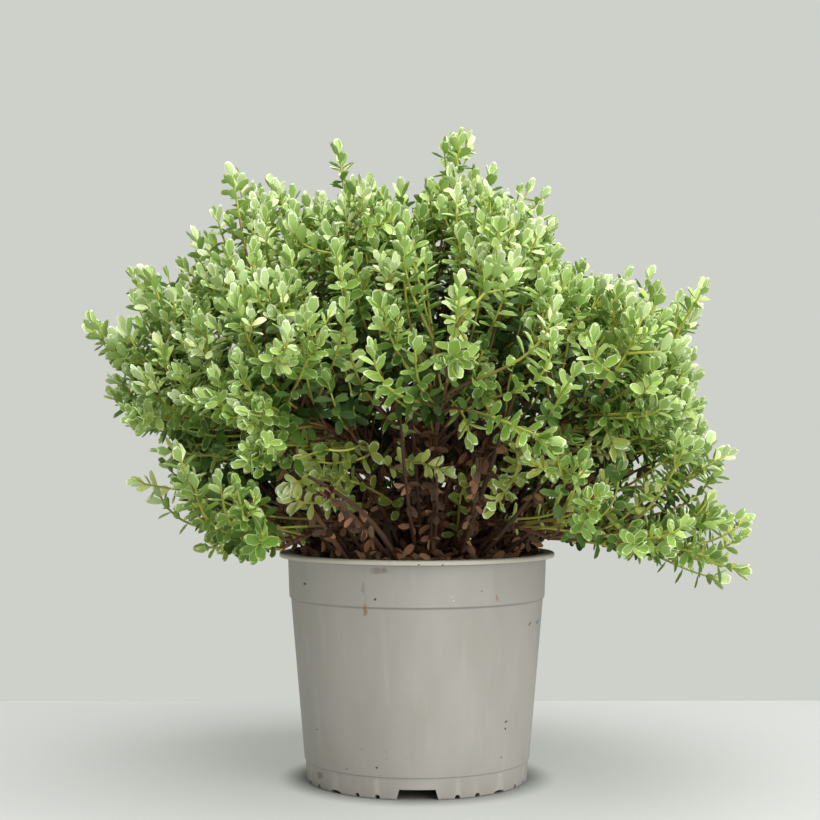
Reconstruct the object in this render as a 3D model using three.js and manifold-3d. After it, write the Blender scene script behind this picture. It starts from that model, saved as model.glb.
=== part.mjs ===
// A small evergreen hebe in a two-litre nursery pot, in millimetres, +Z up, origin at the middle of the
// pot's footprint. The plant is a short leaning trunk, boughs that fan out from it in rings, and a mass
// of leafy twigs at the end of each bough.

import * as THREE from 'three';
import { mergeVertices } from 'three/addons/utils/BufferGeometryUtils.js';
import Module from 'manifold-3d';

const wasm = await Module();
wasm.setup();

// ---------------------------------------------------------------- driving dimensions

const gap = 0.3;                      // clearance between pieces that touch
const finest = 0.02;                  // edges shorter than this are merged away
const roundSegments = 48;             // facets round the pot and the soil

const pot = {
  height: 139,
  wall: 1.5,
  lipRadius: 85,
  lipHeight: 3,
  lipUndercut: 0.3,                   // the lip's underside rises a little outwards
  lipEdge: 0.7,                       // softened top edge
  collarRadius: 79.6,                 // outside, just under the lip
  collarHeight: 25,                   // the wider band under the lip
  collarTaper: 0.9,
  step: 1,                            // how far the band stands out over the body
  stepSlope: 0.8,                     // height over which it does so
  bodyBaseRadius: 69.2,
  footRadius: 68,
  footBand: 12.6,                     // height of the plain band round the foot
  footBandTaper: 0.4,
  footLedge: 0.5,
  baseRecess: 6.5,                    // the base plate is held off the ground
  footThickness: 3,
};

const notch = {
  count: 4,                           // large drainage gaps in the foot, one facing the front
  bottomWidth: 25,
  topWidth: 21,
  height: 6.2,
  smallWidth: 3.2,
  smallHeight: 3,
  wideWidth: 6.5,                     // the arch half-way between two large gaps
  smallAngles: [20, 31, 59, 70],
  wideAngle: 45,
  archSpring: 0.45,                   // share of an arch's height that is straight-sided
  archSegments: 6,
  depth: 14,                          // of the cutters, from inside the foot outwards
};

const drain = { length: 16, width: 6, radius: 50, centreRadius: 5, segments: 16 };

const soil = { edgeDrop: 6, crest: 0.7, crestRadius: 20, shoulderRadius: 52, shoulderHeight: -1.6 };

const trunk = {
  foot: [7, 1, 140],                  // flat cut at ground level, 0.3 over the crest of the soil
  bend: [9, 4, 182],
  tip: [14, 3, 224],
  radius: 3.7,
  tipRadius: 2.3,
  flare: 5.5,                         // extra radius at the ground
  flareHeight: 7,
  sides: 10,
  levels: [0, 0.04, 0.09, 0.17, 0.3, 0.5, 0.7, 0.85, 1],
};

const crown = {
  centre: [0, 0, 139],                // the middle of the soil, which every bough is aimed from
  sideReach: 205,
  topReach: 250,
  boughShare: 0.52,                   // part of the reach that is bare bough
  lowest: 121,                        // nothing hangs lower than this
  overshoot: 1.08,                    // no leaf passes its bough's reach by more
};

// Bulges and hollows of the crown: where they are, how wide and how far they swell.
const swells = [
  { azimuth: 0, rise: 5, width: 9, swell: 12 },
  { azimuth: 0, rise: 25, width: 11, swell: -14 },
  { azimuth: 0, rise: 43, width: 8, swell: 16 },
  { azimuth: 0, rise: 61, width: 10, swell: -22 },
  { azimuth: 0, rise: 84, width: 6, swell: 17 },
  { azimuth: 180, rise: 64, width: 9, swell: 18 },
  { azimuth: 180, rise: 35, width: 13, swell: 40 },
  { azimuth: 180, rise: 2, width: 22, swell: -62 },
  { azimuth: 90, rise: 3, width: 42, swell: -16 },
];

// Boughs in rings, lowest first. The low ring is open towards the front.
const rings = [
  { name: 'low', count: 9, first: -42, sweep: 266, rise: 5, from: 147, stagger: 5.5, lift: 18 },
  { name: 'side', count: 9, first: -4, sweep: 320, rise: 33, from: 163, stagger: 6.5, lift: 16 },
  { name: 'upper', count: 6, first: 12, sweep: 300, rise: 62, from: 189, stagger: 7, lift: 6 },
  { name: 'top', count: 1, first: 20, sweep: 0, rise: 86, from: 224, stagger: 0, lift: 0 },
];
const frontLift = 7;                  // degrees that the side ring rises over the open front
const frontAzimuth = 270;
const levels = 3;                     // neighbours in a ring leave the trunk at this many heights
const jitter = 3;                     // degrees of seeded wander of each bough

const bough = { radius: 1.9, tipRadius: 1.25, sides: 6, steps: 5 };

const twig = {
  stemRadius: 1.5,
  stemTipRadius: 1.1,
  stemSteps: 3,
  stemBend: 0.4,                      // share of its run in which the stem keeps its bough's line
  sides: 3,
  radius: 1.3,
  tipRadius: 1.1,
  count: 5,
  goldenAngle: 137.5,
  firstShare: 0.12,                   // along the stem, where the first twig leaves
  lastShare: 0.78,
  wideSpread: 15,                     // degrees off the bough's line, first twig
  narrowSpread: 8,                    // and last twig
  shortest: 0.93,                     // of the reach
};

const leaf = {
  length: 32,
  width: 19,
  thickness: 1.6,
  fold: 2,                            // the blade's sides stand up over its rib
  widest: 0.6,                        // along the blade
  root: 0.12,                         // its root ends this far short of the twig's axis
  spacing: 17,                        // from one pair to the next
  pairs: 1,                           // pairs under the tip pair
  angle: 52,                          // off the twig
  tipAngle: 26,
  tipBack: 0.6,                       // the tip pair sits this far from the twig's end
  tipReach: 0.9,                      // share of its length by which a tip pair passes that end
  barest: 0.8,                        // share of a twig that may be dressed
};

const clearance = 0.5;                // kept from a space's walls and from limbs
const limbSamples = 24;               // points along a limb that leaves are held clear of
const seed = 2034;
const seedStride = 97;

// ---------------------------------------------------------------- helpers

function random(start) {
  let state = start;
  return () => {
    state = (state * 1664525 + 1013904223) % 4294967296;
    return state / 4294967296;
  };
}

function direction(azimuth, rise) {
  const a = THREE.MathUtils.degToRad(azimuth);
  const r = THREE.MathUtils.degToRad(rise);
  return new THREE.Vector3(Math.cos(r) * Math.cos(a), Math.cos(r) * Math.sin(a), Math.sin(r));
}

function toSolid(geometry) {
  geometry.deleteAttribute('normal');
  geometry.deleteAttribute('uv');
  const merged = mergeVertices(geometry, 1e-5);
  return new wasm.Manifold(new wasm.Mesh({
    numProp: 3,
    vertProperties: new Float32Array(merged.attributes.position.array),
    triVerts: new Uint32Array(merged.index.array),
  }));
}

function toGeometry(solid) {
  const mesh = solid.getMesh();
  const geometry = new THREE.BufferGeometry();
  geometry.setAttribute('position', new THREE.BufferAttribute(mesh.vertProperties, 3));
  geometry.setIndex(new THREE.BufferAttribute(mesh.triVerts, 1));
  geometry.computeVertexNormals();
  return geometry;
}

// The largest body of a fused solid, without its slivers: loose scraps are dropped and sealed hollows
// filled.
function mainBody(solid) {
  const bodies = solid.asOriginal().simplify(finest).decompose();
  return bodies.reduce((best, body) => (body.volume() > best.volume() ? body : best));
}

function part(name, geometry, material) {
  const mesh = new THREE.Mesh(geometry, material);
  mesh.name = name;
  return mesh;
}

// A round bar bent along a curve, with its radius as a function of the distance run (0 to 1).
function limbGeometry(curve, radiusAt, sides, steps) {
  const geometry = new THREE.CylinderGeometry(1, 1, 1, sides, steps);
  const frames = curve.computeFrenetFrames(steps, false);
  const place = geometry.attributes.position;
  for (let i = 0; i < place.count; i += 1) {
    const along = place.getY(i) + 0.5;
    const step = Math.round(along * steps);
    const radius = radiusAt(step / steps);
    const point = curve.getPointAt(step / steps);
    point.addScaledVector(frames.normals[step], place.getZ(i) * radius);
    point.addScaledVector(frames.binormals[step], place.getX(i) * radius);
    place.setXYZ(i, point.x, point.y, point.z);
  }
  return geometry;
}

function taper(start, end) {
  return (along) => start + (end - start) * along;
}

// ---------------------------------------------------------------- materials

const materials = {
  pot: new THREE.MeshStandardMaterial({ color: 0xa9a69e, roughness: 0.55, metalness: 0 }),
  soil: new THREE.MeshStandardMaterial({ color: 0x3a2a20, roughness: 0.95, metalness: 0 }),
  bark: new THREE.MeshStandardMaterial({ color: 0x6e4632, roughness: 0.85, metalness: 0 }),
  foliage: new THREE.MeshStandardMaterial({ color: 0x7d9e54, roughness: 0.6, metalness: 0 }),
};

// ---------------------------------------------------------------- pot and soil

const bodyTop = pot.height - pot.lipHeight - pot.collarHeight;
const bodyTopRadius = pot.collarRadius - pot.collarTaper - pot.step;
const collarBase = bodyTop + pot.stepSlope;

function lathe(points) {
  const profile = points.map(([r, z]) => new THREE.Vector2(r, z));
  const geometry = new THREE.LatheGeometry(profile, roundSegments);
  return geometry.rotateX(Math.PI / 2);
}

function potBody() {
  const lipBottom = pot.height - pot.lipHeight;
  const floorTop = pot.baseRecess + pot.wall;
  return toSolid(lathe([
    [0, pot.baseRecess],
    [pot.footRadius - pot.footThickness, pot.baseRecess],
    [pot.footRadius - pot.footThickness, 0],
    [pot.footRadius, 0],
    [pot.footRadius + pot.footBandTaper, pot.footBand],
    [pot.bodyBaseRadius, pot.footBand + pot.footLedge],
    [bodyTopRadius, bodyTop],
    [bodyTopRadius + pot.step, collarBase],
    [pot.collarRadius, lipBottom],
    [pot.lipRadius, lipBottom + pot.lipUndercut],
    [pot.lipRadius, pot.height - pot.lipEdge],
    [pot.lipRadius - pot.lipEdge, pot.height],
    [pot.collarRadius - pot.wall, pot.height],
    [bodyTopRadius + pot.step - pot.wall, collarBase],
    [bodyTopRadius - pot.wall, bodyTop - pot.stepSlope / 2],
    [pot.bodyBaseRadius - pot.wall, floorTop],
    [0, floorTop],
  ]));
}

const cutterHeight = 4 * pot.wall;    // of the cutters that go through the base plate

// A cutter that runs out through the foot ring, standing on the ground.
function footCutter(shape, azimuth) {
  const geometry = new THREE.ExtrudeGeometry(shape, { depth: notch.depth, bevelEnabled: false });
  geometry.rotateX(Math.PI / 2);
  geometry.rotateZ(Math.PI / 2);
  geometry.translate(pot.footRadius - notch.depth / 2, 0, 0);
  geometry.rotateZ(THREE.MathUtils.degToRad(azimuth));
  return toSolid(geometry);
}

function largeNotch() {
  const shape = new THREE.Shape();
  shape.moveTo(-notch.bottomWidth / 2, -1);
  shape.lineTo(notch.bottomWidth / 2, -1);
  shape.lineTo(notch.topWidth / 2, notch.height);
  shape.lineTo(-notch.topWidth / 2, notch.height);
  return shape;
}

function archNotch(width) {
  const shape = new THREE.Shape();
  shape.moveTo(-width / 2, -1);
  shape.lineTo(width / 2, -1);
  for (let i = 0; i <= notch.archSegments; i += 1) {
    const turn = (Math.PI * i) / notch.archSegments;
    const rise = notch.archSpring + (1 - notch.archSpring) * Math.sin(turn);
    shape.lineTo((Math.cos(turn) * width) / 2, notch.smallHeight * rise);
  }
  return shape;
}

function drainHole(azimuth) {
  const geometry = new THREE.BoxGeometry(drain.width, drain.length, cutterHeight);
  geometry.translate(drain.radius, 0, pot.baseRecess);
  geometry.rotateZ(THREE.MathUtils.degToRad(azimuth));
  return toSolid(geometry);
}

function centreHole() {
  const { centreRadius, segments } = drain;
  const geometry = new THREE.CylinderGeometry(centreRadius, centreRadius, cutterHeight, segments);
  geometry.rotateX(Math.PI / 2);
  geometry.translate(0, 0, pot.baseRecess);
  return toSolid(geometry);
}

function makePot() {
  let solid = potBody().subtract(centreHole());
  for (let i = 0; i < notch.count; i += 1) {
    const quarter = frontAzimuth + (360 / notch.count) * i;
    solid = solid.subtract(footCutter(largeNotch(), quarter));
    solid = solid.subtract(footCutter(archNotch(notch.wideWidth), quarter + notch.wideAngle));
    solid = solid.subtract(drainHole(quarter + notch.wideAngle));
    for (const angle of notch.smallAngles) {
      solid = solid.subtract(footCutter(archNotch(notch.smallWidth), quarter + angle));
    }
  }
  return part('pot', toGeometry(mainBody(solid)), materials.pot);
}

function makeSoil() {
  const level = pot.height;
  const bottom = pot.baseRecess + pot.wall + gap;
  const inside = pot.wall + gap;
  const edge = level - soil.edgeDrop;
  const collarSlope = pot.collarTaper / (pot.collarHeight - pot.stepSlope);
  const edgeRadius = bodyTopRadius + pot.step - inside + collarSlope * (edge - collarBase);
  const geometry = lathe([
    [0, bottom],
    [pot.bodyBaseRadius - inside, bottom],
    [bodyTopRadius - inside, bodyTop - pot.stepSlope / 2],
    [bodyTopRadius + pot.step - inside, collarBase],
    [edgeRadius, edge],
    [soil.shoulderRadius, level + soil.shoulderHeight],
    [soil.crestRadius, level + soil.crest],
    [0, level + soil.crest],
  ]);
  return part('soil', toGeometry(toSolid(geometry)), materials.soil);
}

// ---------------------------------------------------------------- crown layout

const centre = new THREE.Vector3(...crown.centre);

// How far the crown reaches from its centre in a direction.
function crownReach(aim) {
  const up = Math.max(aim.z, 0);
  let reach = crown.sideReach + (crown.topReach - crown.sideReach) * up ** 1.5;
  for (const { azimuth, rise, width, swell } of swells) {
    const angle = THREE.MathUtils.radToDeg(aim.angleTo(direction(azimuth, rise)));
    reach += swell * Math.exp(-((angle / width) ** 2));
  }
  return reach;
}

function planBoughs() {
  const draw = random(seed);
  const plan = [];
  for (const ring of rings) {
    const step = ring.count > 1 ? ring.sweep / (ring.count - 1) : 0;
    for (let i = 0; i < ring.count; i += 1) {
      const azimuth = ring.first + step * i + (draw() - 0.5) * 2 * jitter;
      const toFront = THREE.MathUtils.degToRad(azimuth - frontAzimuth);
      const lift = ring.name === 'side' ? frontLift * Math.max(0, Math.cos(toFront)) : 0;
      const aim = direction(azimuth, ring.rise + lift + (draw() - 0.5) * 2 * jitter);
      plan.push({
        name: `${ring.name}_${i + 1}`,
        ring,
        aim,
        reach: crownReach(aim),
        from: ring.from + ring.stagger * (i % levels),
        seed: seed + (plan.length + 1) * seedStride,
      });
    }
  }
  return plan;
}

const boughPlan = planBoughs();

// Each mass keeps to the cone of directions that are nearer to its own bough than to any other.
for (const own of boughPlan) {
  own.walls = boughPlan.filter((other) => other !== own)
    .map((other) => other.aim.clone().sub(own.aim).normalize());
}

function insideSpace(own, point, margin) {
  const out = point.clone().sub(centre);
  if (out.length() > own.reach * crown.overshoot || point.z < crown.lowest) {
    return false;
  }
  return own.walls.every((wall) => out.dot(wall) < -margin);
}

// ---------------------------------------------------------------- trunk and boughs

const trunkCurve = new THREE.QuadraticBezierCurve3(
  new THREE.Vector3(...trunk.foot),
  new THREE.Vector3(...trunk.bend),
  new THREE.Vector3(...trunk.tip),
);
const trunkHeight = trunk.tip[2] - trunk.foot[2];

function trunkRadius(along) {
  const flare = trunk.flare * Math.exp(-(along * trunkHeight) / trunk.flareHeight);
  return trunk.radius + (trunk.tipRadius - trunk.radius) * along + flare;
}

function trunkSolid(extra) {
  const top = trunk.levels.length - 1;
  const geometry = new THREE.CylinderGeometry(1, 1, 1, trunk.sides, top);
  const place = geometry.attributes.position;
  for (let i = 0; i < place.count; i += 1) {
    const along = trunk.levels[Math.round((place.getY(i) + 0.5) * top)];
    const point = trunkCurve.getPoint(along);
    const radius = trunkRadius(along) + extra;
    const end = along === 1 ? extra : 0;
    place.setXYZ(i, point.x + place.getX(i) * radius, point.y - place.getZ(i) * radius, point.z + end);
  }
  return toSolid(geometry);
}

function trunkPointAt(height) {
  const along = (height - trunk.foot[2]) / trunkHeight;
  return trunkCurve.getPoint(Math.min(along, 1));
}

function boughCurve(own) {
  const start = trunkPointAt(own.from);
  const end = centre.clone().addScaledVector(own.aim, own.reach * crown.boughShare);
  if (own.ring.name === 'top') {
    start.z += gap;
  }
  const middle = start.clone().lerp(end, 0.5);
  middle.z += own.ring.lift;
  return new THREE.QuadraticBezierCurve3(start, middle, end);
}

const trunkClear = trunkSolid(gap);
const boughRadius = taper(bough.radius, bough.tipRadius);

for (const own of boughPlan) {
  own.curve = boughCurve(own);
  own.tip = own.curve.getPoint(1);
  own.tipWay = own.curve.getTangent(1);
}

function makeBough(own) {
  const geometry = limbGeometry(own.curve, boughRadius, bough.sides, bough.steps);
  const solid = toSolid(geometry).subtract(trunkClear);
  return part(`bough_${own.name}`, toGeometry(mainBody(solid)), materials.bark);
}

// ---------------------------------------------------------------- masses of foliage

// Points along the bare limbs, with the limb's radius there, for keeping leaves off them.
const limbPoints = boughPlan.flatMap((own) => own.curve.getSpacedPoints(limbSamples)
  .map((point, i) => ({ point, radius: boughRadius(i / limbSamples) })));

function leafPoints(base, way, side, up) {
  const middle = base.clone().addScaledVector(way, leaf.length * leaf.widest);
  const rib = middle.clone().addScaledVector(up, -leaf.fold);
  return {
    root: base.clone().addScaledVector(way, leaf.root),
    tip: base.clone().addScaledVector(way, leaf.length),
    left: middle.clone().addScaledVector(side, leaf.width / 2),
    right: middle.clone().addScaledVector(side, -leaf.width / 2),
    over: rib.clone().addScaledVector(up, leaf.thickness / 2),
    under: rib.clone().addScaledVector(up, -leaf.thickness / 2),
  };
}

function leafSolid(points) {
  const geometry = new THREE.OctahedronGeometry(1);
  const place = geometry.attributes.position;
  for (let i = 0; i < place.count; i += 1) {
    const corner = new THREE.Vector3().fromBufferAttribute(place, i);
    let point = corner.x > 0.5 ? points.tip : points.root;
    if (Math.abs(corner.y) > 0.5) {
      point = corner.y > 0 ? points.left : points.right;
    } else if (Math.abs(corner.z) > 0.5) {
      point = corner.z > 0 ? points.over : points.under;
    }
    place.setXYZ(i, point.x, point.y, point.z);
  }
  return toSolid(geometry);
}

// True where a limb comes within reach of a blade, seen as a flat kite.
function nearLimb(base, way, side, up) {
  const widestAt = leaf.length * leaf.widest;
  return limbPoints.some(({ point, radius }) => {
    const from = point.clone().sub(base);
    const along = from.dot(way);
    const across = Math.abs(from.dot(side));
    const over = Math.abs(from.dot(up) + leaf.fold / 2);
    const share = along < widestAt ? along / widestAt : (leaf.length - along) / (leaf.length - widestAt);
    const margin = radius + clearance;
    return share > -0.1 && across < (leaf.width / 2) * share + margin && over < leaf.fold + margin;
  });
}

// Adds a leaf to its shoot, unless it would leave its space or meet a limb, twig or other leaf.
function tryLeaf(own, mass, shoot, base, turn, angle) {
  const radians = THREE.MathUtils.degToRad(angle);
  const way = shoot.way.clone().multiplyScalar(Math.cos(radians)).addScaledVector(turn, Math.sin(radians));
  const up = shoot.way.clone().multiplyScalar(Math.sin(radians)).addScaledVector(turn, -Math.cos(radians));
  const side = new THREE.Vector3().crossVectors(up, way);
  const points = leafPoints(base, way, side, up);
  if (!Object.values(points).every((point) => insideSpace(own, point, clearance))) {
    return;
  }
  if (nearLimb(base, way, side, up)) {
    return;
  }
  const solid = leafSolid(points);
  const others = mass.leaves.concat(mass.twigs.filter((other) => other !== shoot.solid));
  if (others.every((other) => other.intersect(solid).isEmpty())) {
    mass.leaves.push(solid);
  }
}

// Crossed pairs of leaves from a shoot's tip downwards, each pair a quarter turn from the last.
function dressShoot(own, mass, shoot) {
  const square = new THREE.Vector3().crossVectors(shoot.way, new THREE.Vector3(0, 0, 1)).normalize();
  for (let pair = 0; pair <= leaf.pairs; pair += 1) {
    const back = pair === 0 ? leaf.tipBack : pair * leaf.spacing;
    if (back > shoot.run * leaf.barest) {
      break;
    }
    const base = shoot.end.clone().addScaledVector(shoot.way, -back);
    const angle = pair === 0 ? leaf.tipAngle : leaf.angle;
    for (const half of [0, Math.PI]) {
      const turn = square.clone().applyAxisAngle(shoot.way, shoot.turn + (pair * Math.PI) / 2 + half);
      tryLeaf(own, mass, shoot, base, turn, angle);
    }
  }
}

// A shoot is the bare twig that leaves are set along.
function makeShoot(solid, start, end, turn) {
  const way = end.clone().sub(start);
  const run = way.length();
  return { solid, end, way: way.normalize(), run, turn };
}

function straightTwig(start, end, radius, tipRadius) {
  const curve = new THREE.LineCurve3(start, end);
  return toSolid(limbGeometry(curve, taper(radius, tipRadius), twig.sides, 1));
}

function stemCurve(own) {
  const start = own.tip.clone().addScaledVector(own.tipWay, gap);
  const end = centre.clone().addScaledVector(own.aim, own.reach - leaf.length * leaf.tipReach);
  const bend = start.clone().addScaledVector(own.tipWay, start.distanceTo(end) * twig.stemBend);
  return new THREE.QuadraticBezierCurve3(start, bend, end);
}

function twigEnd(own, spread, turn, share) {
  const square = new THREE.Vector3().crossVectors(own.aim, new THREE.Vector3(0, 0, 1)).normalize();
  const axis = square.applyAxisAngle(own.aim, turn);
  const aim = own.aim.clone().applyAxisAngle(axis, THREE.MathUtils.degToRad(spread));
  return centre.clone().addScaledVector(aim, crownReach(aim) * share - leaf.length * leaf.tipReach);
}

// A point along the straight pieces that the stem is made of.
function alongStem(joints, share) {
  const at = share * (joints.length - 1);
  const piece = Math.min(Math.floor(at), joints.length - 2);
  return joints[piece].clone().lerp(joints[piece + 1], at - piece);
}

function makeMass(own) {
  const draw = random(own.seed);
  const curve = stemCurve(own);
  const stemRadius = taper(twig.stemRadius, twig.stemTipRadius);
  const stem = toSolid(limbGeometry(curve, stemRadius, twig.sides, twig.stemSteps));
  const joints = curve.getSpacedPoints(twig.stemSteps);
  const mass = { twigs: [stem], leaves: [] };
  const shoots = [makeShoot(stem, joints[twig.stemSteps - 1], joints[twig.stemSteps], draw() * Math.PI)];
  const firstTurn = draw() * Math.PI * 2;
  for (let i = 0; i < twig.count; i += 1) {
    const share = i / (twig.count - 1);
    const root = alongStem(joints, twig.firstShare + (twig.lastShare - twig.firstShare) * share);
    const spread = twig.wideSpread + (twig.narrowSpread - twig.wideSpread) * share;
    const turn = firstTurn + THREE.MathUtils.degToRad(twig.goldenAngle) * i;
    const tip = twigEnd(own, spread, turn, twig.shortest + (1 - twig.shortest) * draw());
    const leafTurn = draw() * Math.PI;
    if (insideSpace(own, tip, twig.tipRadius + clearance)) {
      const solid = straightTwig(root, tip, twig.radius, twig.tipRadius);
      mass.twigs.push(solid);
      shoots.push(makeShoot(solid, root, tip, leafTurn));
    }
  }
  for (const shoot of shoots) {
    dressShoot(own, mass, shoot);
  }
  const fused = mass.twigs.concat(mass.leaves).reduce((all, one) => all.add(one));
  return part(`foliage_${own.name}`, toGeometry(mainBody(fused)), materials.foliage);
}

// ---------------------------------------------------------------- the whole plant in its pot

const plant = new THREE.Group();
plant.add(part('trunk', toGeometry(trunkSolid(0)), materials.bark));
for (const own of boughPlan) {
  plant.add(makeBough(own));
  plant.add(makeMass(own));
}

const hebe = new THREE.Group();
hebe.add(makePot(), makeSoil(), plant);

export default hebe;
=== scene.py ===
import math
import bmesh
import bpy
import numpy as np
from numpy.linalg import norm
from mathutils import Matrix, Vector, noise


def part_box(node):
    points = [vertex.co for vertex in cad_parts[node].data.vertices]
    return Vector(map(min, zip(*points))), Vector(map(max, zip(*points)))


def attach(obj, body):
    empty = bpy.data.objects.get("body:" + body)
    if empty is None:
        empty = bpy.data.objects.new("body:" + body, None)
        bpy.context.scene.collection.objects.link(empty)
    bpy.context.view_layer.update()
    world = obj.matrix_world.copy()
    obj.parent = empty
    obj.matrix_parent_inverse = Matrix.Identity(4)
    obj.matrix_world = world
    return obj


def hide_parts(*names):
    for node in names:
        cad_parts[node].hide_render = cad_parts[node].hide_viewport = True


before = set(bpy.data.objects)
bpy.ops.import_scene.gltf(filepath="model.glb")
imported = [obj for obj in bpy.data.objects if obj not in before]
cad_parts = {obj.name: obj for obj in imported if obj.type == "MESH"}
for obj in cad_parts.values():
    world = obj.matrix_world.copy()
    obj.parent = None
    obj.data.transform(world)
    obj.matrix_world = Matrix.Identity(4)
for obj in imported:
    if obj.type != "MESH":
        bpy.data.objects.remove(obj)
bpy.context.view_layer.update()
unit = 0.001  # metres in a millimetre: sizes below are in millimetres
upright = np.array([0.0, 0.0, 1.0])


def drawFrom(start):  # the seeded draw that the plant's layout is grown by
    state = start

    def draw():
        nonlocal state
        state = (state * 1664525 + 1013904223) % 4294967296
        return state / 4294967296
    return draw


# Shader helpers

class Wire:  # a socket that takes part in sums
    def __init__(self, finish, socket):
        self.finish = finish
        self.socket = socket

    def calc(self, operation, first, second):
        return self.finish.node("Math", {"operation": operation}, {0: first, 1: second})

    def __add__(self, other):
        return self.calc("ADD", self, other)

    def __mul__(self, other):
        return self.calc("MULTIPLY", self, other)

    def __sub__(self, other):
        return self.calc("SUBTRACT", self, other)

    def __rsub__(self, other):
        return self.calc("SUBTRACT", other, self)
    __radd__ = __add__
    __rmul__ = __mul__

    def atMost(self, other):
        return self.calc("MINIMUM", self, other)

    def below(self, other):
        return self.calc("LESS_THAN", self, other)


class Finish:  # a material under construction
    def __init__(self, name, roughness):
        self.material = bpy.data.materials.new(name)
        self.material.use_nodes = True
        self.tree = self.material.node_tree
        self.surface = self.tree.nodes["Principled BSDF"].inputs
        self.set("Roughness", roughness)

    def feed(self, socket, value):
        if isinstance(value, Wire):
            self.tree.links.new(value.socket, socket)
        else:
            socket.default_value = value

    def node(self, kind, settings=None, inputs=None, output=0):
        made = self.tree.nodes.new("ShaderNode" + kind)
        for key, value in (settings or {}).items():
            setattr(made, key, value)
        for key, value in (inputs or {}).items():
            self.feed(made.inputs[key], value)
        return Wire(self, made.outputs[output])

    def set(self, name, value):
        self.feed(self.surface[name], value)

    def place(self, stretch=(1, 1, 1)):
        spot = self.node("TexCoord", output="Object")
        return self.node("Mapping", None, {"Vector": spot, "Scale": stretch})

    def axes(self, spot):
        return [self.node("SeparateXYZ", None, {0: spot}, i) for i in range(3)]

    def noise(self, size, detail, roughness, stretch=(1, 1, 1)):  # size of its blots in mm
        inputs = {"Vector": self.place(stretch), "Scale": 1 / (size * unit), "Detail": detail}
        return self.node("TexNoise", None, {**inputs, "Roughness": roughness})

    def ramp(self, value, stops):  # stops are (place, screen colour)
        made = self.node("ValToRGB", None, {0: value})
        ramp = made.socket.node.color_ramp.elements
        while len(ramp) < len(stops):
            ramp.new(1)
        for stop, (place, tone) in zip(ramp, stops):
            stop.position = place
            stop.color = shade(*tone)
        return made

    def mask(self, value, low, high):  # 0 at low, 1 at high
        steps = {"From Min": low, "From Max": high}
        return self.node("MapRange", {"interpolation_type": "SMOOTHSTEP"}, {"Value": value, **steps})

    def mix(self, share, first, tone):  # a colour turned towards a screen colour
        return self.node("Mix", {"data_type": "RGBA"}, {0: share, 6: first, 7: shade(*tone)}, 2)

    def bump(self, height, distance, strength=1.0):
        inputs = {"Height": height, "Distance": distance * unit, "Strength": strength}
        self.set("Normal", self.node("Bump", None, inputs))


def shade(red, green, blue):  # a screen colour as the shaders' linear one
    def linear(value):
        share = value / 255
        return share / 12.92 if share <= 0.04045 else ((share + 0.055) / 1.055) ** 2.4
    return (linear(red), linear(green), linear(blue), 1.0)


def plainFinish(name, tone, roughness, gloss=0.35):
    finish = Finish(name, roughness)
    finish.set("Base Color", shade(*tone))
    finish.set("Specular IOR Level", gloss)
    return finish


def plainFinishes(name, tones, *looks):
    return [plainFinish(f"{name}{i + 1}", tone, *looks) for i, tone in enumerate(tones)]


# Mesh helpers

def link(thing):
    bpy.context.scene.collection.objects.link(thing)
    return thing


def smooth(mesh, sharpAngle):
    mesh.shade_smooth()
    if sharpAngle:
        mesh.set_sharp_from_angle(angle=math.radians(sharpAngle))


def addPiece(name, mesh, finishes, sharpAngle):
    for finish in finishes:
        mesh.materials.append(finish.material)
    smooth(mesh, sharpAngle)
    return link(bpy.data.objects.new(name, mesh))


def pieceFrom(bm, name, finishes, sharpAngle=None):
    bmesh.ops.scale(bm, vec=(unit, unit, unit), verts=bm.verts)
    mesh = bpy.data.meshes.new(name)
    bm.to_mesh(mesh)
    bm.free()
    return addPiece(name, mesh, finishes, sharpAngle)


def softOutline(corners, steps):  # corners are (radius, height, softness), and soft ones become small arcs
    points = []
    for i, (radius, height, softness) in enumerate(corners):
        corner = Vector((radius, height))
        if softness == 0:
            points.append(corner)
            continue
        ends = []
        for other in (corners[i - 1], corners[(i + 1) % len(corners)]):
            way = Vector(other[:2]) - corner
            ends.append(corner + way.normalized() * min(softness, way.length * 0.45))
        for k in range(steps + 1):
            share = k / steps
            points.append(ends[0].lerp(corner, share).lerp(corner.lerp(ends[1], share), share))
    return points


def spinOutline(bm, points, steps):
    verts = [bm.verts.new((p.x, 0, p.y)) for p in points]
    edges = [bm.edges.new((verts[i - 1], verts[i])) for i in range(len(verts))]
    fullTurn = {"cent": (0, 0, 0), "axis": (0, 0, 1), "angle": math.tau, "steps": steps, "use_merge": True}
    bmesh.ops.spin(bm, geom=verts + edges, **fullTurn)
    bmesh.ops.remove_doubles(bm, verts=bm.verts, dist=0.001)
    for parts, middle in ((bm.verts, lambda v: v.co[:]), (bm.faces, lambda f: f.calc_center_median()[:])):
        rank = {part: i for i, part in enumerate(sorted(parts, key=middle))}
        parts.sort(key=rank.get)  # since merging leaves them in any order
    bmesh.ops.recalc_face_normals(bm, faces=bm.faces)


class Template:  # a small mesh that many copies are made from
    def __init__(self, bm):
        bm.verts.index_update()
        self.points = np.array([v.co for v in bm.verts])
        self.groups = []  # faces with the same number of corners, with their kinds
        for corners in sorted({len(f.verts) for f in bm.faces}):
            faces = [f for f in bm.faces if len(f.verts) == corners]
            index = np.array([[v.index for v in f.verts] for f in faces])
            self.groups.append((index, np.array([f.material_index for f in faces])))
        bm.free()


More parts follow.
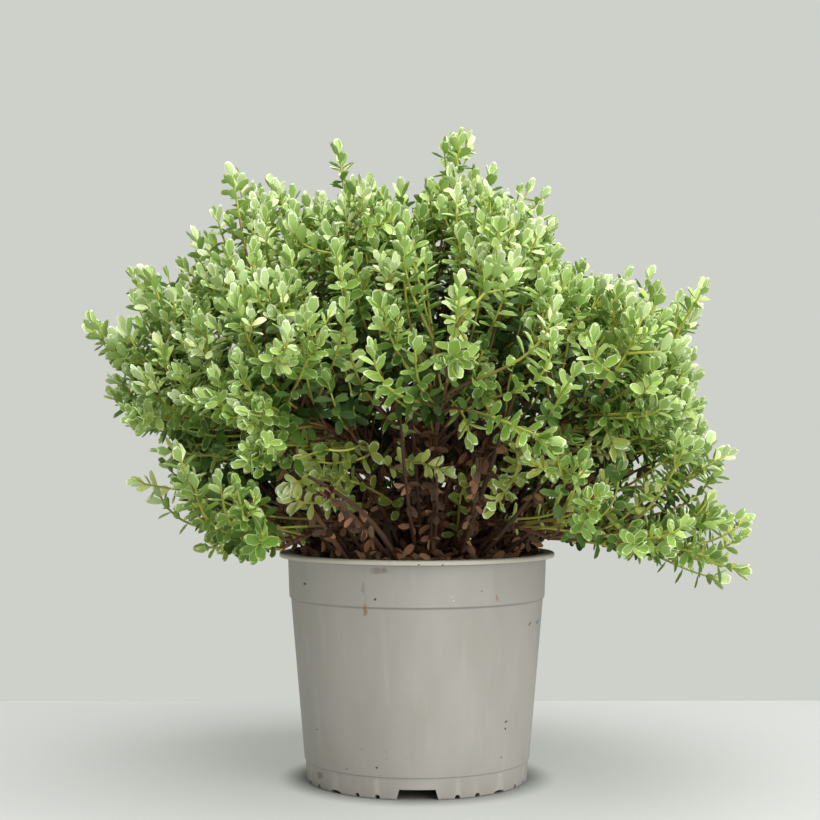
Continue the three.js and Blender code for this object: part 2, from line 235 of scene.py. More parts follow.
class Heap:  # copies of templates that are joined into one mesh
    def __init__(self):
        self.points = []
        self.faces = []
        self.slots = []
        self.count = 0

    def add(self, template, points, slotTable):  # copies x template points x 3, and copies x kinds of face
        first = self.count + np.arange(len(points)) * len(template.points)
        for index, kinds in template.groups:
            faces = index[None] + first[:, None, None]
            self.faces += faces.reshape(-1, index.shape[1]).tolist()
            self.slots.append(slotTable[:, kinds].reshape(-1))
        self.points.append(points.reshape(-1, 3))
        self.count += len(self.points[-1])

    def piece(self, name, finishes, sharpAngle=None):
        mesh = bpy.data.meshes.new(name)
        mesh.from_pydata((np.concatenate(self.points) * unit).tolist(), [], self.faces)
        mesh.polygons.foreach_set("material_index", np.concatenate(self.slots).astype(np.int32))
        mesh.update()
        return addPiece(name, mesh, finishes, sharpAngle)


def placed(local, middles, *axes):  # copies of points about their middles, along the three axes of each
    points = middles[:, None]
    for i, axis in enumerate(axes):
        points = points + local[..., i, None] * axis[:, None]
    return points


def normalized(vectors):
    return vectors / np.maximum(norm(vectors, axis=-1, keepdims=True), 1e-9)


def between(ends, share):
    return ends[0] + (ends[1] - ends[0]) * share


def lengthsOf(paths):  # of copies x steps x 3 points
    return norm(np.diff(paths, axis=1), axis=2).sum(axis=1)


def framesAlong(paths):  # the ways, sides and backs of such paths, with no twist
    ways = normalized(np.gradient(paths, axis=1))
    side = normalized(np.cross(ways[:, 0], np.array([0.31, 0.52, 0.79])))
    sides = [side]
    for i in range(1, paths.shape[1]):
        side = normalized(side - np.sum(side * ways[:, i], axis=1, keepdims=True) * ways[:, i])
        sides.append(side)
    sides = np.stack(sides, axis=1)
    return ways, sides, np.cross(ways, sides)


def barTemplate(sides, rows):  # a unit bar with its row number as its height
    bm = bmesh.new()
    bmesh.ops.create_cone(bm, cap_ends=True, segments=sides, radius1=1, radius2=1, depth=rows - 1)
    bmesh.ops.translate(bm, vec=(0, 0, (rows - 1) / 2), verts=bm.verts)
    for row in range(1, rows - 1):
        whole = bm.verts[:] + bm.edges[:] + bm.faces[:]
        bmesh.ops.bisect_plane(bm, geom=whole, plane_co=(0, 0, row), plane_no=(0, 0, 1))
    for face in bm.faces:
        face.material_index = int(min(v.co.z for v in face.verts) + 0.5)
    return Template(bm)


def rowsOf(bar):
    return np.round(bar.points[:, 2]).astype(int)


def bentBars(bar, paths, radii):  # radii are copies x rows
    rows = rowsOf(bar)
    ways, sides, backs = framesAlong(paths)
    across = bar.points[None, :, 0:1] * sides[:, rows] + bar.points[None, :, 1:2] * backs[:, rows]
    return paths[:, rows] + across * radii[:, rows, None]


def bezier(points, rows):  # points are copies x 3 or 4 x 3
    share = np.linspace(0, 1, rows)[None, :, None]
    rest = 1 - share
    if points.shape[1] == 3:
        a, b, c = (points[:, i, None] for i in range(3))
        return a * rest ** 2 + b * 2 * share * rest + c * share ** 2
    a, b, c, d = (points[:, i, None] for i in range(4))
    return a * rest ** 3 + b * 3 * share * rest ** 2 + c * 3 * share ** 2 * rest + d * share ** 3


def curve(rows, *points):  # one such path
    return bezier(np.array([points]), rows)[0]


def turned(vectors, axes, angles):  # vectors turned about unit axes by radians
    cosine = np.cos(angles)[..., None]
    sine = np.sin(angles)[..., None]
    along = np.sum(vectors * axes, axis=-1, keepdims=True) * axes
    return vectors * cosine + np.cross(axes, vectors) * sine + along * (1 - cosine)


# Camera, light and floor

studio = {
    "distance": 1010,  # in front of the pot's axis
    "height": 206.5, "aside": -4.3, "pitch": 1.13,  # degrees up
    "lens": 71.5, "sensor": 36, "clip": (0.05, 20), "aim": (0, 0, 200),
    "floorFront": -2500, "floorBack": 295, "floorSide": 2500, "floorDepth": 30,
    "shadow": (64, 88),  # radii between which the floor starts to glow; inside them, round the pot's foot, the floor keeps a painted contact shadow
    "air": (206, 209, 202), "airLight": 0.45, "floorShade": (160, 161, 159), "floorGlow": 0.48,
}
lamps = [  # name, place, size, power
    ("overhead", (150, -350, 1500), 1500, 31),
    ("frontRight", (1150, -1400, 750), 1400, 20),
    ("frontLeft", (-1200, -1400, 600), 1300, 1),
]


def makeCamera():
    lens = bpy.data.cameras.new("camera")
    lens.lens = studio["lens"]
    lens.sensor_width = studio["sensor"]
    lens.clip_start, lens.clip_end = studio["clip"]
    camera = link(bpy.data.objects.new("camera", lens))
    camera.location = Vector((studio["aside"], -studio["distance"], studio["height"])) * unit
    camera.rotation_euler = (math.radians(90 + studio["pitch"]), 0, 0)
    bpy.context.scene.camera = camera


def makeLamps():
    for name, place, size, power in lamps:
        light = bpy.data.lights.new(name, "AREA")
        light.size = size * unit
        light.energy = power
        holder = link(bpy.data.objects.new(name, light))
        holder.location = Vector(place) * unit
        way = Vector(studio["aim"]) * unit - holder.location
        holder.rotation_euler = way.to_track_quat("-Z", "Y").to_euler()
    world = bpy.data.worlds.new("air")
    world.use_nodes = True
    nodes, links = world.node_tree.nodes, world.node_tree.links
    air = nodes["Background"].inputs
    air["Color"].default_value = shade(*studio["air"])
    rays = nodes.new("ShaderNodeLightPath")  # what is seen is brighter than what it sheds
    level = nodes.new("ShaderNodeMapRange")
    level.inputs["To Min"].default_value = studio["airLight"]
    links.new(rays.outputs["Is Camera Ray"], level.inputs["Value"])
    links.new(level.outputs[0], air["Strength"])
    bpy.context.scene.world = world
    bpy.context.scene.view_settings.view_transform = "Standard"


def makeFloor():
    bm = bmesh.new()
    bmesh.ops.create_cube(bm, size=1)
    deep = studio["floorBack"] - studio["floorFront"]
    bmesh.ops.scale(bm, vec=(studio["floorSide"] * 2, deep, studio["floorDepth"]), verts=bm.verts)
    middle = (0, studio["floorBack"] - deep / 2, -studio["floorDepth"] / 2)
    bmesh.ops.translate(bm, vec=middle, verts=bm.verts)
    finish = Finish("floor", 0.7)
    finish.set("Base Color", shade(*studio["floorShade"]))
    x, y = finish.axes(finish.place())[:2]
    # painted light: the floor glows in the air's colour to lift the shadows cast on it, except round the
    # pot's foot, which keeps a painted contact shadow
    beside = finish.mask(x * x + y * y, *[(radius * unit) ** 2 for radius in studio["shadow"]])
    finish.set("Emission Color", finish.mix(beside, shade(0, 0, 0), studio["air"]))
    finish.set("Emission Strength", studio["floorGlow"])
    pieceFrom(bm, "floor", [finish], 30)


makeCamera()
makeLamps()
makeFloor()
print("stage is set")

# Pot

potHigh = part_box("pot")[1]
pot = {
    "height": potHigh.z / unit, "wall": 1.5,
    "lipRadius": potHigh.x / unit, "lipHeight": 3, "lipUndercut": 0.3,
    "collarRadius": 79.6, "collarHeight": 25, "collarTaper": 0.9, "step": 1, "stepSlope": 0.8,
    "bodyBaseRadius": 69.2, "footRadius": 68, "footBand": 12.6, "footBandTaper": 0.4, "footLedge": 0.5,
    "baseRecess": 6.5, "footThickness": 3, "roundSteps": 144, "arcSteps": 3, "sharpAngle": 40,
    # rim is the lip's painted highlight
    "mid": (176, 171, 165), "dull": (168, 163, 156), "pale": (188, 184, 178), "rim": (208, 201, 187),
    # line is the painted shade under the collar's step and under the lip
    "line": (128, 122, 113), "soil": (126, 104, 78), "speckShade": (52, 44, 38),
    "cloud": (34, 3, 0.55, (1, 1, 0.5)), "streak": (7, 2, 0.5, (1, 1, 0.12)), "grain": (1.1, 2, 0.6),
    "wander": 0.004, "splashTop": 0.06,  # in metres
    "marks": [  # across, up, half width, half height, strength, shade
        (-30.5, 120, 0.8, 15, 0.5, (120, 112, 88)), (-31, 123, 1.5, 4, 0.75, (92, 88, 66)),
        (-30, 110, 1.6, 4, 0.8, (142, 104, 66)), (-24.5, 132.6, 9, 2.2, 0.6, (120, 92, 76)),
        (46.3, 116.3, 0.8, 2.6, 0.9, (150, 98, 56)), (-58, 8, 2.4, 2.2, 0.5, (120, 78, 58)),
        (20, 118.5, 0.5, 0.8, 0.8, (226, 224, 216)), (20, 115, 0.5, 0.7, 0.8, (226, 224, 216)),
    ],
    "specks": [(-66.6, 122.5, 1.0), (-24, 116.7, 0.8), (0, 136.4, 0.6), (14, 136.4, 0.6), (66.6, 97.8, 0.7),
               (72.5, 98, 0.7), (52.2, 42.2, 0.7), (52.2, 38.6, 0.7), (-59.6, 35.7, 0.6), (-23.3, 18.7, 0.7),
               (49, 21, 0.5), (-41, 16, 0.5), (36.5, 120, 0.5)],
}
notches = {
    "count": 4, "bottomWidth": 25, "topWidth": 21, "height": 6.2, "depth": 14, "front": 270,
    "wide": (8.5, 2), "wideAngle": 45, "small": (3.2, 2.6), "smallAngles": [20, 31, 59, 70],
    "archSpring": 0.45, "archSteps": 10,
    "drain": (6, 16), "drainRadius": 50, "centreRadius": 5, "centreSides": 32,
}
bodyTop = pot["height"] - pot["lipHeight"] - pot["collarHeight"]
bodyTopRadius = pot["collarRadius"] - pot["collarTaper"] - pot["step"]
collarBase = bodyTop + pot["stepSlope"]
lipBottom = pot["height"] - pot["lipHeight"]


def potOutline():
    top, wall, recess = pot["height"], pot["wall"], pot["baseRecess"]
    foot, collar, base, step = pot["footRadius"], pot["collarRadius"], pot["bodyBaseRadius"], pot["step"]
    footInside = foot - pot["footThickness"]
    return [
        (0, recess, 0), (footInside, recess, 0.6), (footInside, 0, 0.5), (foot, 0, 1.3),
        (foot + pot["footBandTaper"], pot["footBand"], 0.3), (base, pot["footBand"] + pot["footLedge"], 0.4),
        (bodyTopRadius, bodyTop, 0.4), (bodyTopRadius + step, collarBase, 0.5), (collar, lipBottom, 0.9),
        (pot["lipRadius"] - 0.2, lipBottom + pot["lipUndercut"], 0.6), (pot["lipRadius"], top, 1.5),
        (collar - wall, top, 1.0), (bodyTopRadius + step - wall, collarBase, 0.5),
        (bodyTopRadius - wall, bodyTop - pot["stepSlope"] / 2, 0.4), (base - wall, recess + wall, 1.2),
        (0, recess + wall, 0),
    ]


def addPrism(bm, outline, depth, matrix):  # an outline of (across, height) pushed along its own x
    verts = [bm.verts.new((0, across, height)) for across, height in outline]
    face = bm.faces.new(verts)
    pushed = bmesh.ops.extrude_face_region(bm, geom=[face])["geom"]
    far = [v for v in pushed if isinstance(v, bmesh.types.BMVert)]
    bmesh.ops.translate(bm, vec=(depth, 0, 0), verts=far)
    bmesh.ops.transform(bm, matrix=matrix, verts=verts + far)


def archOutline(width, height):
    points = [(-width / 2, -1), (width / 2, -1)]
    for i in range(notches["archSteps"] + 1):
        turn = math.pi * i / notches["archSteps"]
        rise = notches["archSpring"] + (1 - notches["archSpring"]) * math.sin(turn)
        points.append((math.cos(turn) * width / 2, height * rise))
    return points


def makeCutter():
    bm = bmesh.new()
    low, high, tall = notches["bottomWidth"] / 2, notches["topWidth"] / 2, notches["height"]
    wide, small = archOutline(*notches["wide"]), archOutline(*notches["small"])
    cuts = [([(-low, -1), (low, -1), (high, tall), (-high, tall)], 0), (wide, notches["wideAngle"])]
    cuts += [(small, angle) for angle in notches["smallAngles"]]
    inner = Matrix.Translation((pot["footRadius"] - notches["depth"] / 2, 0, 0))
    through = 4 * pot["wall"]
    drainPlace = Matrix.Translation((notches["drainRadius"], 0, pot["baseRecess"]))
    drain = drainPlace @ Matrix.Diagonal((*notches["drain"], through, 1))
    for i in range(notches["count"]):
        quarter = notches["front"] + 360 / notches["count"] * i

        def at(angle):
            return Matrix.Rotation(math.radians(quarter + angle), 4, "Z")
        for outline, angle in cuts:
            addPrism(bm, outline, notches["depth"], at(angle) @ inner)
        bmesh.ops.create_cube(bm, size=1, matrix=at(notches["wideAngle"]) @ drain)
    hole = {"radius1": notches["centreRadius"], "radius2": notches["centreRadius"], "depth": through}
    middle = Matrix.Translation((0, 0, pot["baseRecess"]))
    bmesh.ops.create_cone(bm, cap_ends=True, segments=notches["centreSides"], matrix=middle, **hole)
    bmesh.ops.recalc_face_normals(bm, faces=bm.faces)
    return pieceFrom(bm, "cutter", [])


def potFinish():
    finish = Finish("potPlastic", 0.52)
    x, y, z = finish.axes(finish.place())
    cloud, streak, grain = (finish.noise(*pot[key]) for key in ("cloud", "streak", "grain"))
    edges = finish.node("NewGeometry", output="Pointiness")
    front = y.below(0.0)
    wander = (finish.noise(5, 2, 0.5) - 0.5) * pot["wander"]

    def spotMask(across, height, width, tall):
        dx = (x + wander - across * unit) * (1 / (width * unit))
        dz = (z + wander - height * unit) * (1 / (tall * unit))
        return finish.mask(dx * dx + dz * dz, 1.0, 0.35) * front

    # painted shade: thin dark bands where the body steps in under the collar and under the lip
    def creaseShadeMask(height, width):
        off = (z - height * unit) * (1 / (width * unit))
        return finish.mask(off * off, 1.0, 0.2)
    # paler on convex edges, found by the mesh's pointiness
    streaks, paleEdges = finish.mask(streak, 0.52, 0.8), finish.mask(edges, 0.52, 0.6)
    # painted highlight: the lip is turned towards the paler rim colour, as if it caught more light than the
    # body
    lip = finish.mask(z, lipBottom * unit, (lipBottom + 0.6) * unit)
    creaseShade = creaseShadeMask(bodyTop + 0.3, 0.9) + creaseShadeMask(lipBottom, 0.7)
    covers = [(finish.mask(cloud, 0.35, 0.68), pot["mid"]), (streaks * 0.35, pot["pale"]),
              (paleEdges * 0.5, pot["pale"]), (lip * 0.75, pot["rim"]), (creaseShade.atMost(1.0) * 0.55, pot["line"])]
    for across, height, width, tall, strength, tone in pot["marks"]:
        stain = spotMask(across, height, width, tall) * finish.mask(streak, 0.25, 0.55)
        covers.append((stain * strength, tone))
    specks = sum(spotMask(across, height, size, size) for across, height, size in pot["specks"])
    splash = finish.mask(finish.noise(2.3, 1, 0.4), 0.74, 0.8) * finish.mask(z, pot["splashTop"], 0.0)
    covers += [(specks.atMost(1.0), pot["speckShade"]), (splash * 0.6, pot["soil"])]
    body = shade(*pot["dull"])
    for cover, tone in covers:
        body = finish.mix(cover, body, tone)
    finish.set("Base Color", body)
    finish.set("Roughness", finish.mask(cloud, 0.2, 0.8) * 0.12 + 0.46)
    finish.bump(grain * 0.35 + streak * 0.65, 0.12, 0.5)
    return finish


def makePot():
    bm = bmesh.new()
    spinOutline(bm, softOutline(potOutline(), pot["arcSteps"]), pot["roundSteps"])
    piece = pieceFrom(bm, "potBody", [potFinish()])
    cutter = makeCutter()
    cut = piece.modifiers.new("notches", "BOOLEAN")
    cut.operation = "DIFFERENCE"
    cut.solver = "EXACT"
    cut.object = cutter
    graph = bpy.context.evaluated_depsgraph_get()
    rough = piece.data
    piece.data = bpy.data.meshes.new_from_object(piece.evaluated_get(graph))
    piece.modifiers.clear()
    piece.data.name = piece.name
    bpy.data.meshes.remove(rough)
    bpy.data.objects.remove(cutter)
    smooth(piece.data, pot["sharpAngle"])
    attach(piece, "root")
    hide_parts("pot")


makePot()
print("pot is made")

# Compost

compost = {
    "edgeDrop": 6, "crest": 0.7, "crestRadius": 20, "shoulderRadius": 52, "shoulderHeight": -1.6, "gap": 0.3,
    "ringSize": 1.8,  # of the relief's mesh
    "roundSteps": 120, "relief": 1.5, "grains": (0.16, 0.45), "fineShare": 0.6, "flatEdge": 3,
    "tones": [(0.3, (28, 20, 16)), (0.48, (62, 44, 32)), (0.62, (96, 66, 44)), (0.75, (58, 40, 30))],
    "chips": (420, 4, 13), "crumbs": (900, 1.2, 3.2),  # how many, and their lengths
    "chipWidth": (0.35, 0.75), "chipThickness": (0.12, 0.3), "thinnest": 0.8, "tilt": 0.22, "warp": 0.25,
    "chipShades": [(92, 62, 42), (122, 84, 56), (68, 46, 34), (142, 108, 76), (44, 32, 26)],
    "seed": 71,
}


def edgeRadius():  # of the compost, against the collar
    slope = pot["collarTaper"] / (pot["collarHeight"] - pot["stepSlope"])
    inside = bodyTopRadius + pot["step"] - pot["wall"] - compost["gap"]
    return inside + slope * (pot["height"] - compost["edgeDrop"] - collarBase)


compostEdge = edgeRadius()


def compostTop(radius):
    top = pot["height"]
    crest = top + compost["crest"]
    heights = [crest, crest, top + compost["shoulderHeight"], top - compost["edgeDrop"]]
    return np.interp(radius, [0, compost["crestRadius"], compost["shoulderRadius"], compostEdge], heights)


def compostFinish():
    finish = Finish("compostCrumbs", 0.95)
    finish.set("Base Color", finish.ramp(finish.noise(3.2, 4, 0.65), compost["tones"]))
    finish.bump(finish.noise(1.2, 3, 0.6), 0.6)
    return finish


def makeCompost():
    edge = compostEdge
    bottom = pot["baseRecess"] + pot["wall"] + compost["gap"]
    inside = pot["wall"] + compost["gap"]
    count = int(edge / compost["ringSize"])
    outline = [(0, bottom, 0), (pot["bodyBaseRadius"] - inside, bottom, 0),
               (bodyTopRadius - inside, bodyTop - pot["stepSlope"] / 2, 0),
               (bodyTopRadius + pot["step"] - inside, collarBase, 0)]
    outline += [(edge * i / count, float(compostTop(edge * i / count)), 0) for i in range(count, -1, -1)]
    bm = bmesh.new()
    spinOutline(bm, softOutline(outline, 1), compost["roundSteps"])
    coarse, fine = compost["grains"]
    for vert in bm.verts:
        x, y, z = vert.co
        if z > collarBase + 1:
            rough = noise.noise(vert.co * coarse) + compost["fineShare"] * noise.noise(vert.co * fine)
            fromEdge = (edge - math.hypot(x, y)) / compost["flatEdge"]
            vert.co.z += rough * compost["relief"] * min(1, fromEdge)
    piece = pieceFrom(bm, "compost", [compostFinish()])
    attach(piece, "root")
    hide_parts("soil")


def onCompost(radius, angle, lift):
    return np.stack([radius * np.cos(angle), radius * np.sin(angle), compostTop(radius) + lift], axis=1)


def lyingFrames(draws, count, tilt):  # random headings, nearly flat
    heading = draws.uniform(0, math.tau, count)
    lean = draws.normal(0, tilt, (count, 2))
    way = normalized(np.stack([np.cos(heading), np.sin(heading), lean[:, 0]], axis=1))
    side = normalized(np.cross(upright, way) + upright * lean[:, 1:2])
    return way, side, np.cross(way, side)


def makeChips():
    draws = np.random.default_rng(compost["seed"])
    bm = bmesh.new()
    bmesh.ops.create_cube(bm, size=1)
    bevel = {"offset": 0.22, "affect": "EDGES", "segments": 1, "profile": 0.5, "material": -1}
    bmesh.ops.bevel(bm, geom=bm.edges[:], **bevel)
    chip = Template(bm)
    heap = Heap()
    finishes = plainFinishes("barkChip", compost["chipShades"], 0.9, 0.5)
    for count, low, high in (compost["chips"], compost["crumbs"]):
        radius = (compostEdge - high / 2 - 0.5) * np.sqrt(draws.uniform(0.01, 1, count))
        angle = draws.uniform(0, math.tau, count)
        length = draws.uniform(low, high, count)
        width = length * draws.uniform(*compost["chipWidth"], count)
        thick = np.maximum(length * draws.uniform(*compost["chipThickness"], count), compost["thinnest"])
        frames = lyingFrames(draws, count, compost["tilt"])
        warp = 1 + draws.uniform(-compost["warp"], compost["warp"], (count, len(chip.points), 3))
        local = chip.points[None] * warp * np.stack([length, width, thick], axis=1)[:, None]
        places = placed(local, onCompost(radius, angle, thick * 0.3), *frames)
        heap.add(chip, places, draws.integers(0, len(finishes), (count, 1)))
    piece = heap.piece("barkChips", finishes, 35)
    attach(piece, "root")


makeCompost()
makeChips()
print("compost is made")

# Layout of the plant: trunk, boughs and the space of each mass

trunk = {
    "course": np.array([(7.0, 1, 140), (9, 4, 182), (14, 3, 224)]),  # foot, bend, tip
    "radii": (3.7, 2.3), "flare": 5.5, "flareHeight": 7,
    "sink": 1.2,  # below the crest of the compost
    "rows": 48, "sides": 18,
}
crown = {
    "centre": np.array([0.0, 0.0, 139.0]), "reaches": (205, 250),  # to the side, to the top
    "boughShare": 0.52, "lowest": 121, "frontLift": 7, "front": 270, "levels": 3, "jitter": 3,
    "seed": 2034, "seedStride": 97,
}
centre = crown["centre"]
swells = [  # azimuth, rise, width, swell
    (0, 5, 9, 12), (0, 25, 11, -14), (0, 43, 8, 16), (0, 61, 10, -22), (0, 84, 6, 17), (180, 64, 9, 18),
    (180, 35, 13, 40), (180, 2, 22, -62), (90, 3, 42, -16),
]
outline = [  # the furthest tips seen from the front, across and above the ground
    (194, 122), (211, 161), (196, 198), (183, 230), (178, 264), (179, 301), (150, 316), (136, 317),
    (106, 322), (90, 328), (87, 348), (79, 358), (72, 373), (48, 381), (27, 401), (8, 372), (-10, 370),
    (-21, 368), (-48, 391), (-71, 363), (-90, 371), (-115, 376), (-129, 354), (-142, 340), (-160, 315),
    (-176, 316), (-182, 300), (-208, 281), (-195, 239), (-169, 177), (-126, 141),
]
thinPlaces = [  # across, up, half sizes, how much of the growth is missing there and how far back
    (2, 150, 60, 56, 1.0, 60), (0, 222, 80, 18, 0.85, 0), (130, 190, 42, 36, 0.5, 300),
    (171, 175, 36, 14, 0.98, 300), (140, 139, 50, 13, 0.75, 300), (-186, 196, 36, 18, 0.95, 300),
    (-64, 154, 26, 27, 0.93, 0), (73, 164, 18, 36, 0.97, 0), (-116, 158, 30, 12, 0.85, 300),
    (-52, 201, 24, 13, 0.75, -8), (-170, 160, 46, 19, 0.97, 300), (120, 232, 40, 24, 0.4, 300),
]
fillPlaces = [  # across, back, up: the middle, the half sizes, how many shoots end there, and their kind
    ((-94, 18, 180), (54, 76, 29), 80, "inner"), ((98, 36, 180), (40, 60, 29), 22, "inner"),
    ((122, -16, 184), (36, 56, 26), 26, "wisp"), ((0, 74, 204), (54, 40, 14), 36, "inner"),
]
skirt = [  # across, and the lowest that tips hang there
    (-250, 158), (-170, 156), (-135, 152), (-118, 149), (-60, 153), (60, 151), (110, 148), (150, 138),
    (200, 131), (250, 128),
]
sprays = [  # shoots with a course of their own: kind, depths at both ends, then across and up in turns
    ("arch", -20, -92, 6, 160, -3, 173, -13.6, 189.7, -29, 199.7, -44, 204, -58, 206, -74, 204, -90, 207),
    ("wisp", -58, -88, -13.6, 189.7, -8, 193, 2, 193.6, 11.8, 190, 18, 189),
    ("wisp", -68, -92, -29, 199.7, -40, 195, -54, 193.5, -68, 195.5),
    ("wisp", -40, -86, -12, 165, -20, 172.4, -35, 180.4, -50, 184, -64, 187),
    ("wisp", -30, -80, 22, 145, 25, 154, 26, 167.4, 28.5, 178, 37, 181, 50, 183.5),
    ("wisp", -36, -84, 40, 158, 50, 171.8, 58, 179, 62, 189, 65, 200, 67, 208),
    ("arch", -60, -104, 64, 262, 72, 255, 83, 238, 88, 214, 90, 198, 86, 188),
    ("wisp", -88, -112, 84, 238, 98, 234, 109, 226, 117, 214, 123, 203),
    ("arch", -14, -64, 23, 142, 44, 146, 66, 150, 89, 152, 113, 148, 138, 142, 169, 135, 198, 128),
    ("wisp", -38, -60, 100, 150.5, 113, 152, 127, 159, 138, 169, 146, 178),
    ("wisp", -46, -60, 128, 145, 144, 153, 156, 155, 170, 158, 184, 164),
    ("wisp", -52, -66, 148, 140, 165, 142, 184, 146, 202, 156),
    ("wisp", -52, -40, 150, 140, 160, 150, 172, 160, 180, 170),
    ("wisp", -60, -60, 172, 134, 184, 138, 193, 143, 200, 148),
    ("arch", -24, -96, -34, 153, -56, 153, -79, 147.5, -98, 142, -117, 141, -131, 141.5),
    ("wisp", -60, -88, -84, 192, -96, 196.5, -107, 195, -125, 198, -144, 199.5, -156, 201),
    ("wisp", -30, -62, -82, 161, -100, 167, -117, 172, -137, 175.5, -155, 178, -172, 181),
    ("wisp", -112, -118, 15, 254, 16, 238, 24, 230, 30, 220, 32, 210),
    ("wisp", -108, -118, 40, 244, 42, 230, 50, 220, 61, 214, 66, 204),
    ("wisp", -90, -112, 94, 194, 86, 189, 78, 190, 70, 194),
    ("wisp", -76, -98, 62, 204, 62, 190, 54, 176, 46, 167),
    ("wisp", -56, -96, -44, 166, -56, 169, -70, 169, -81, 173),
    ("wisp", -60, -98, -46, 178, -61, 184, -70, 183, -79, 179),
    ("wisp", -80, -98, -44, 190, -49, 183, -51.5, 176, -54, 170),
    ("ladder", -70, -130, -37, 205, -50.6, 227.6, -64, 245, -75, 262, -81, 277, -88.7, 285),
    ("ladder", -70, -135, -14.5, 218, -26, 229.6, -35.4, 243, -41, 258, -45, 273.5),
    ("ladder", -74, -120, -64, 207, -81, 216, -96, 218, -107.5, 219, -117, 227.6, -121, 241),
    ("ladder", -70, -128, -62, 222, -77, 231.6, -88.7, 245, -92.4, 260),
    ("ladder", -80, -112, -92, 214, -100, 224, -109.4, 235, -115.4, 247),
    ("ladder", -96, -60, -40, 264, -43, 285, -43, 300, -43, 330.6, -44, 349, -48.7, 387),
    ("ladder", -100, -50, -96, 282, -100, 300, -105.6, 321, -109.4, 340, -113, 360.7, -115.4, 374),
    ("ladder", -100, -104, -62, 270, -71, 290.4, -75, 307.6, -80, 321),
    ("ladder", -96, -100, -90.6, 266, -103.7, 285, -115.4, 304, -117, 322.7),
    ("ladder", -40, -10, -123, 216, -138, 228, -159, 241, -176, 249, -187, 262, -200.6, 281),
    ("ladder", -60, -50, -140, 260, -149.5, 275, -159, 292, -164.5, 307.6),
    ("ladder", -120, -158, 36, 250, 32.6, 264, 26, 276.6, 23.6, 286.5, 22.3, 297),
    ("ladder", -100, -140, 11.8, 246, 4.8, 258.7, -4, 270, -11.8, 281.6, -15.5, 291.7),
    ("ladder", -110, -120, 10, 267, 8.6, 278, 6, 297, 4.8, 312, 5.4, 319.5),
    ("ladder", -76, -128, 59, 207.7, 50, 218, 42.8, 232, 40, 241, 41.6, 250),
    ("ladder", -70, -130, 51.5, 242, 59, 251, 72, 262.6, 89, 269, 100, 271, 107, 275),
    ("ladder", -50, -110, -4, 186, -9.3, 208, -5.3, 223, -0.3, 232, 2, 241),
    ("ladder", -60, -80, 135.7, 259, 139.3, 271, 142, 287.5, 146, 300),
    ("ladder", -50, -60, 158, 266, 164, 279, 171, 290, 177, 301),
    ("ladder", -60, -70, 112, 198, 128, 206, 146, 214, 157, 224, 166, 235),
    ("ladder", -30, -50, 120, 176, 142, 179, 163, 183, 177, 190, 191, 198),
    ("ladder", -30, -20, 12, 322, 17, 342, 21, 362, 25, 380, 27, 394),
]
rings = [  # name, count, first azimuth, sweep, rise, height on the trunk, stagger, arch of the boughs
    ("low", 9, -42, 266, 5, 147, 5.5, 18), ("side", 9, -4, 320, 33, 163, 6.5, 16),
    ("upper", 6, 12, 300, 62, 189, 7, 6), ("top", 1, 20, 0, 86, 224, 0, 0),
]
twigRule = {
    "count": 5, "stemBend": 0.4, "goldenAngle": 137.5, "roots": (0.12, 0.78), "spreads": (15, 8),
    "shortest": 0.93,
    "tipRoom": 5,  # from a shoot's end to the crown's surface
}


def direction(azimuth, rise):
    a, r = math.radians(azimuth), math.radians(rise)
    return np.array([math.cos(r) * math.cos(a), math.cos(r) * math.sin(a), math.sin(r)])


def crownReach(aims):  # aims are any number of unit vectors
    aims = np.atleast_2d(aims)
    reach = between(crown["reaches"], np.maximum(aims[:, 2], 0) ** 1.5)
    for azimuth, rise, width, swell in swells:
        angle = np.degrees(np.arccos(np.clip(aims @ direction(azimuth, rise), -1, 1)))
        reach = reach + swell * np.exp(-((angle / width) ** 2))
    return reach


def trunkPoint(along):
    foot, bend, tip = trunk["course"]
    return foot * (1 - along) ** 2 + bend * 2 * along * (1 - along) + tip * along ** 2


def planBoughs():
    draw = drawFrom(crown["seed"])
    plan = []
    for name, count, first, sweep, rise, base, stagger, arch in rings:
        for i in range(count):
            azimuth = first + sweep / max(count - 1, 1) * i + (draw() - 0.5) * 2 * crown["jitter"]
            toFront = math.radians(azimuth - crown["front"])
            lift = crown["frontLift"] * max(0, math.cos(toFront)) if name == "side" else 0
            aim = direction(azimuth, rise + lift + (draw() - 0.5) * 2 * crown["jitter"])
            reach = crownReach(aim)[0]
            foot, tip = trunk["course"][[0, 2], 2]
            start = trunkPoint(min((base + stagger * (i % crown["levels"]) - foot) / (tip - foot), 1))
            end = centre + aim * reach * crown["boughShare"]
            middle = (start + end) / 2 + upright * arch
            plan.append({
                "name": f"{name}_{i + 1}", "aim": aim, "reach": reach, "tipWay": normalized(end - middle),
                "bough": np.array([start, middle, end]),
                "seed": crown["seed"] + (len(plan) + 1) * crown["seedStride"],
            })
    return plan


boughPlan = planBoughs()
boughs = np.array([own["bough"] for own in boughPlan])
aims = np.array([own["aim"] for own in boughPlan])


def massOf(directions):  # the mass whose space holds each direction
    return np.argmax(np.atleast_2d(directions) @ aims.T, axis=1)


# Bark of the trunk and boughs

limb = {
    "radii": (1.9, 1.25), "rows": 40, "sides": 12,
    "scarStep": 8,  # between the scars of fallen leaf pairs
    "scar": 0.3, "scarWidth": 0.9, "relief": ((2.2, 0.256), (7, 0.32)),  # size and depth
    "buttress": 0.32,  # of the trunk's foot
    "tones": [(0.32, (48, 31, 23)), (0.5, (94, 60, 42)), (0.66, (132, 90, 62)), (0.8, (160, 124, 92))],
    "flake": (118, 96, 76),
}


def barkFinish():
    finish = Finish("bark", 0.85)
    fibre = finish.noise(2.4, 4, 0.6, (1, 1, 0.3))
    flakes = finish.noise(6, 3, 0.6, (1, 1, 0.5))
    wood = finish.ramp(fibre, limb["tones"])
    finish.set("Base Color", finish.mix(finish.mask(flakes, 0.55, 0.75) * 0.5, wood, limb["flake"]))
    finish.bump(fibre, 0.5)
    return finish


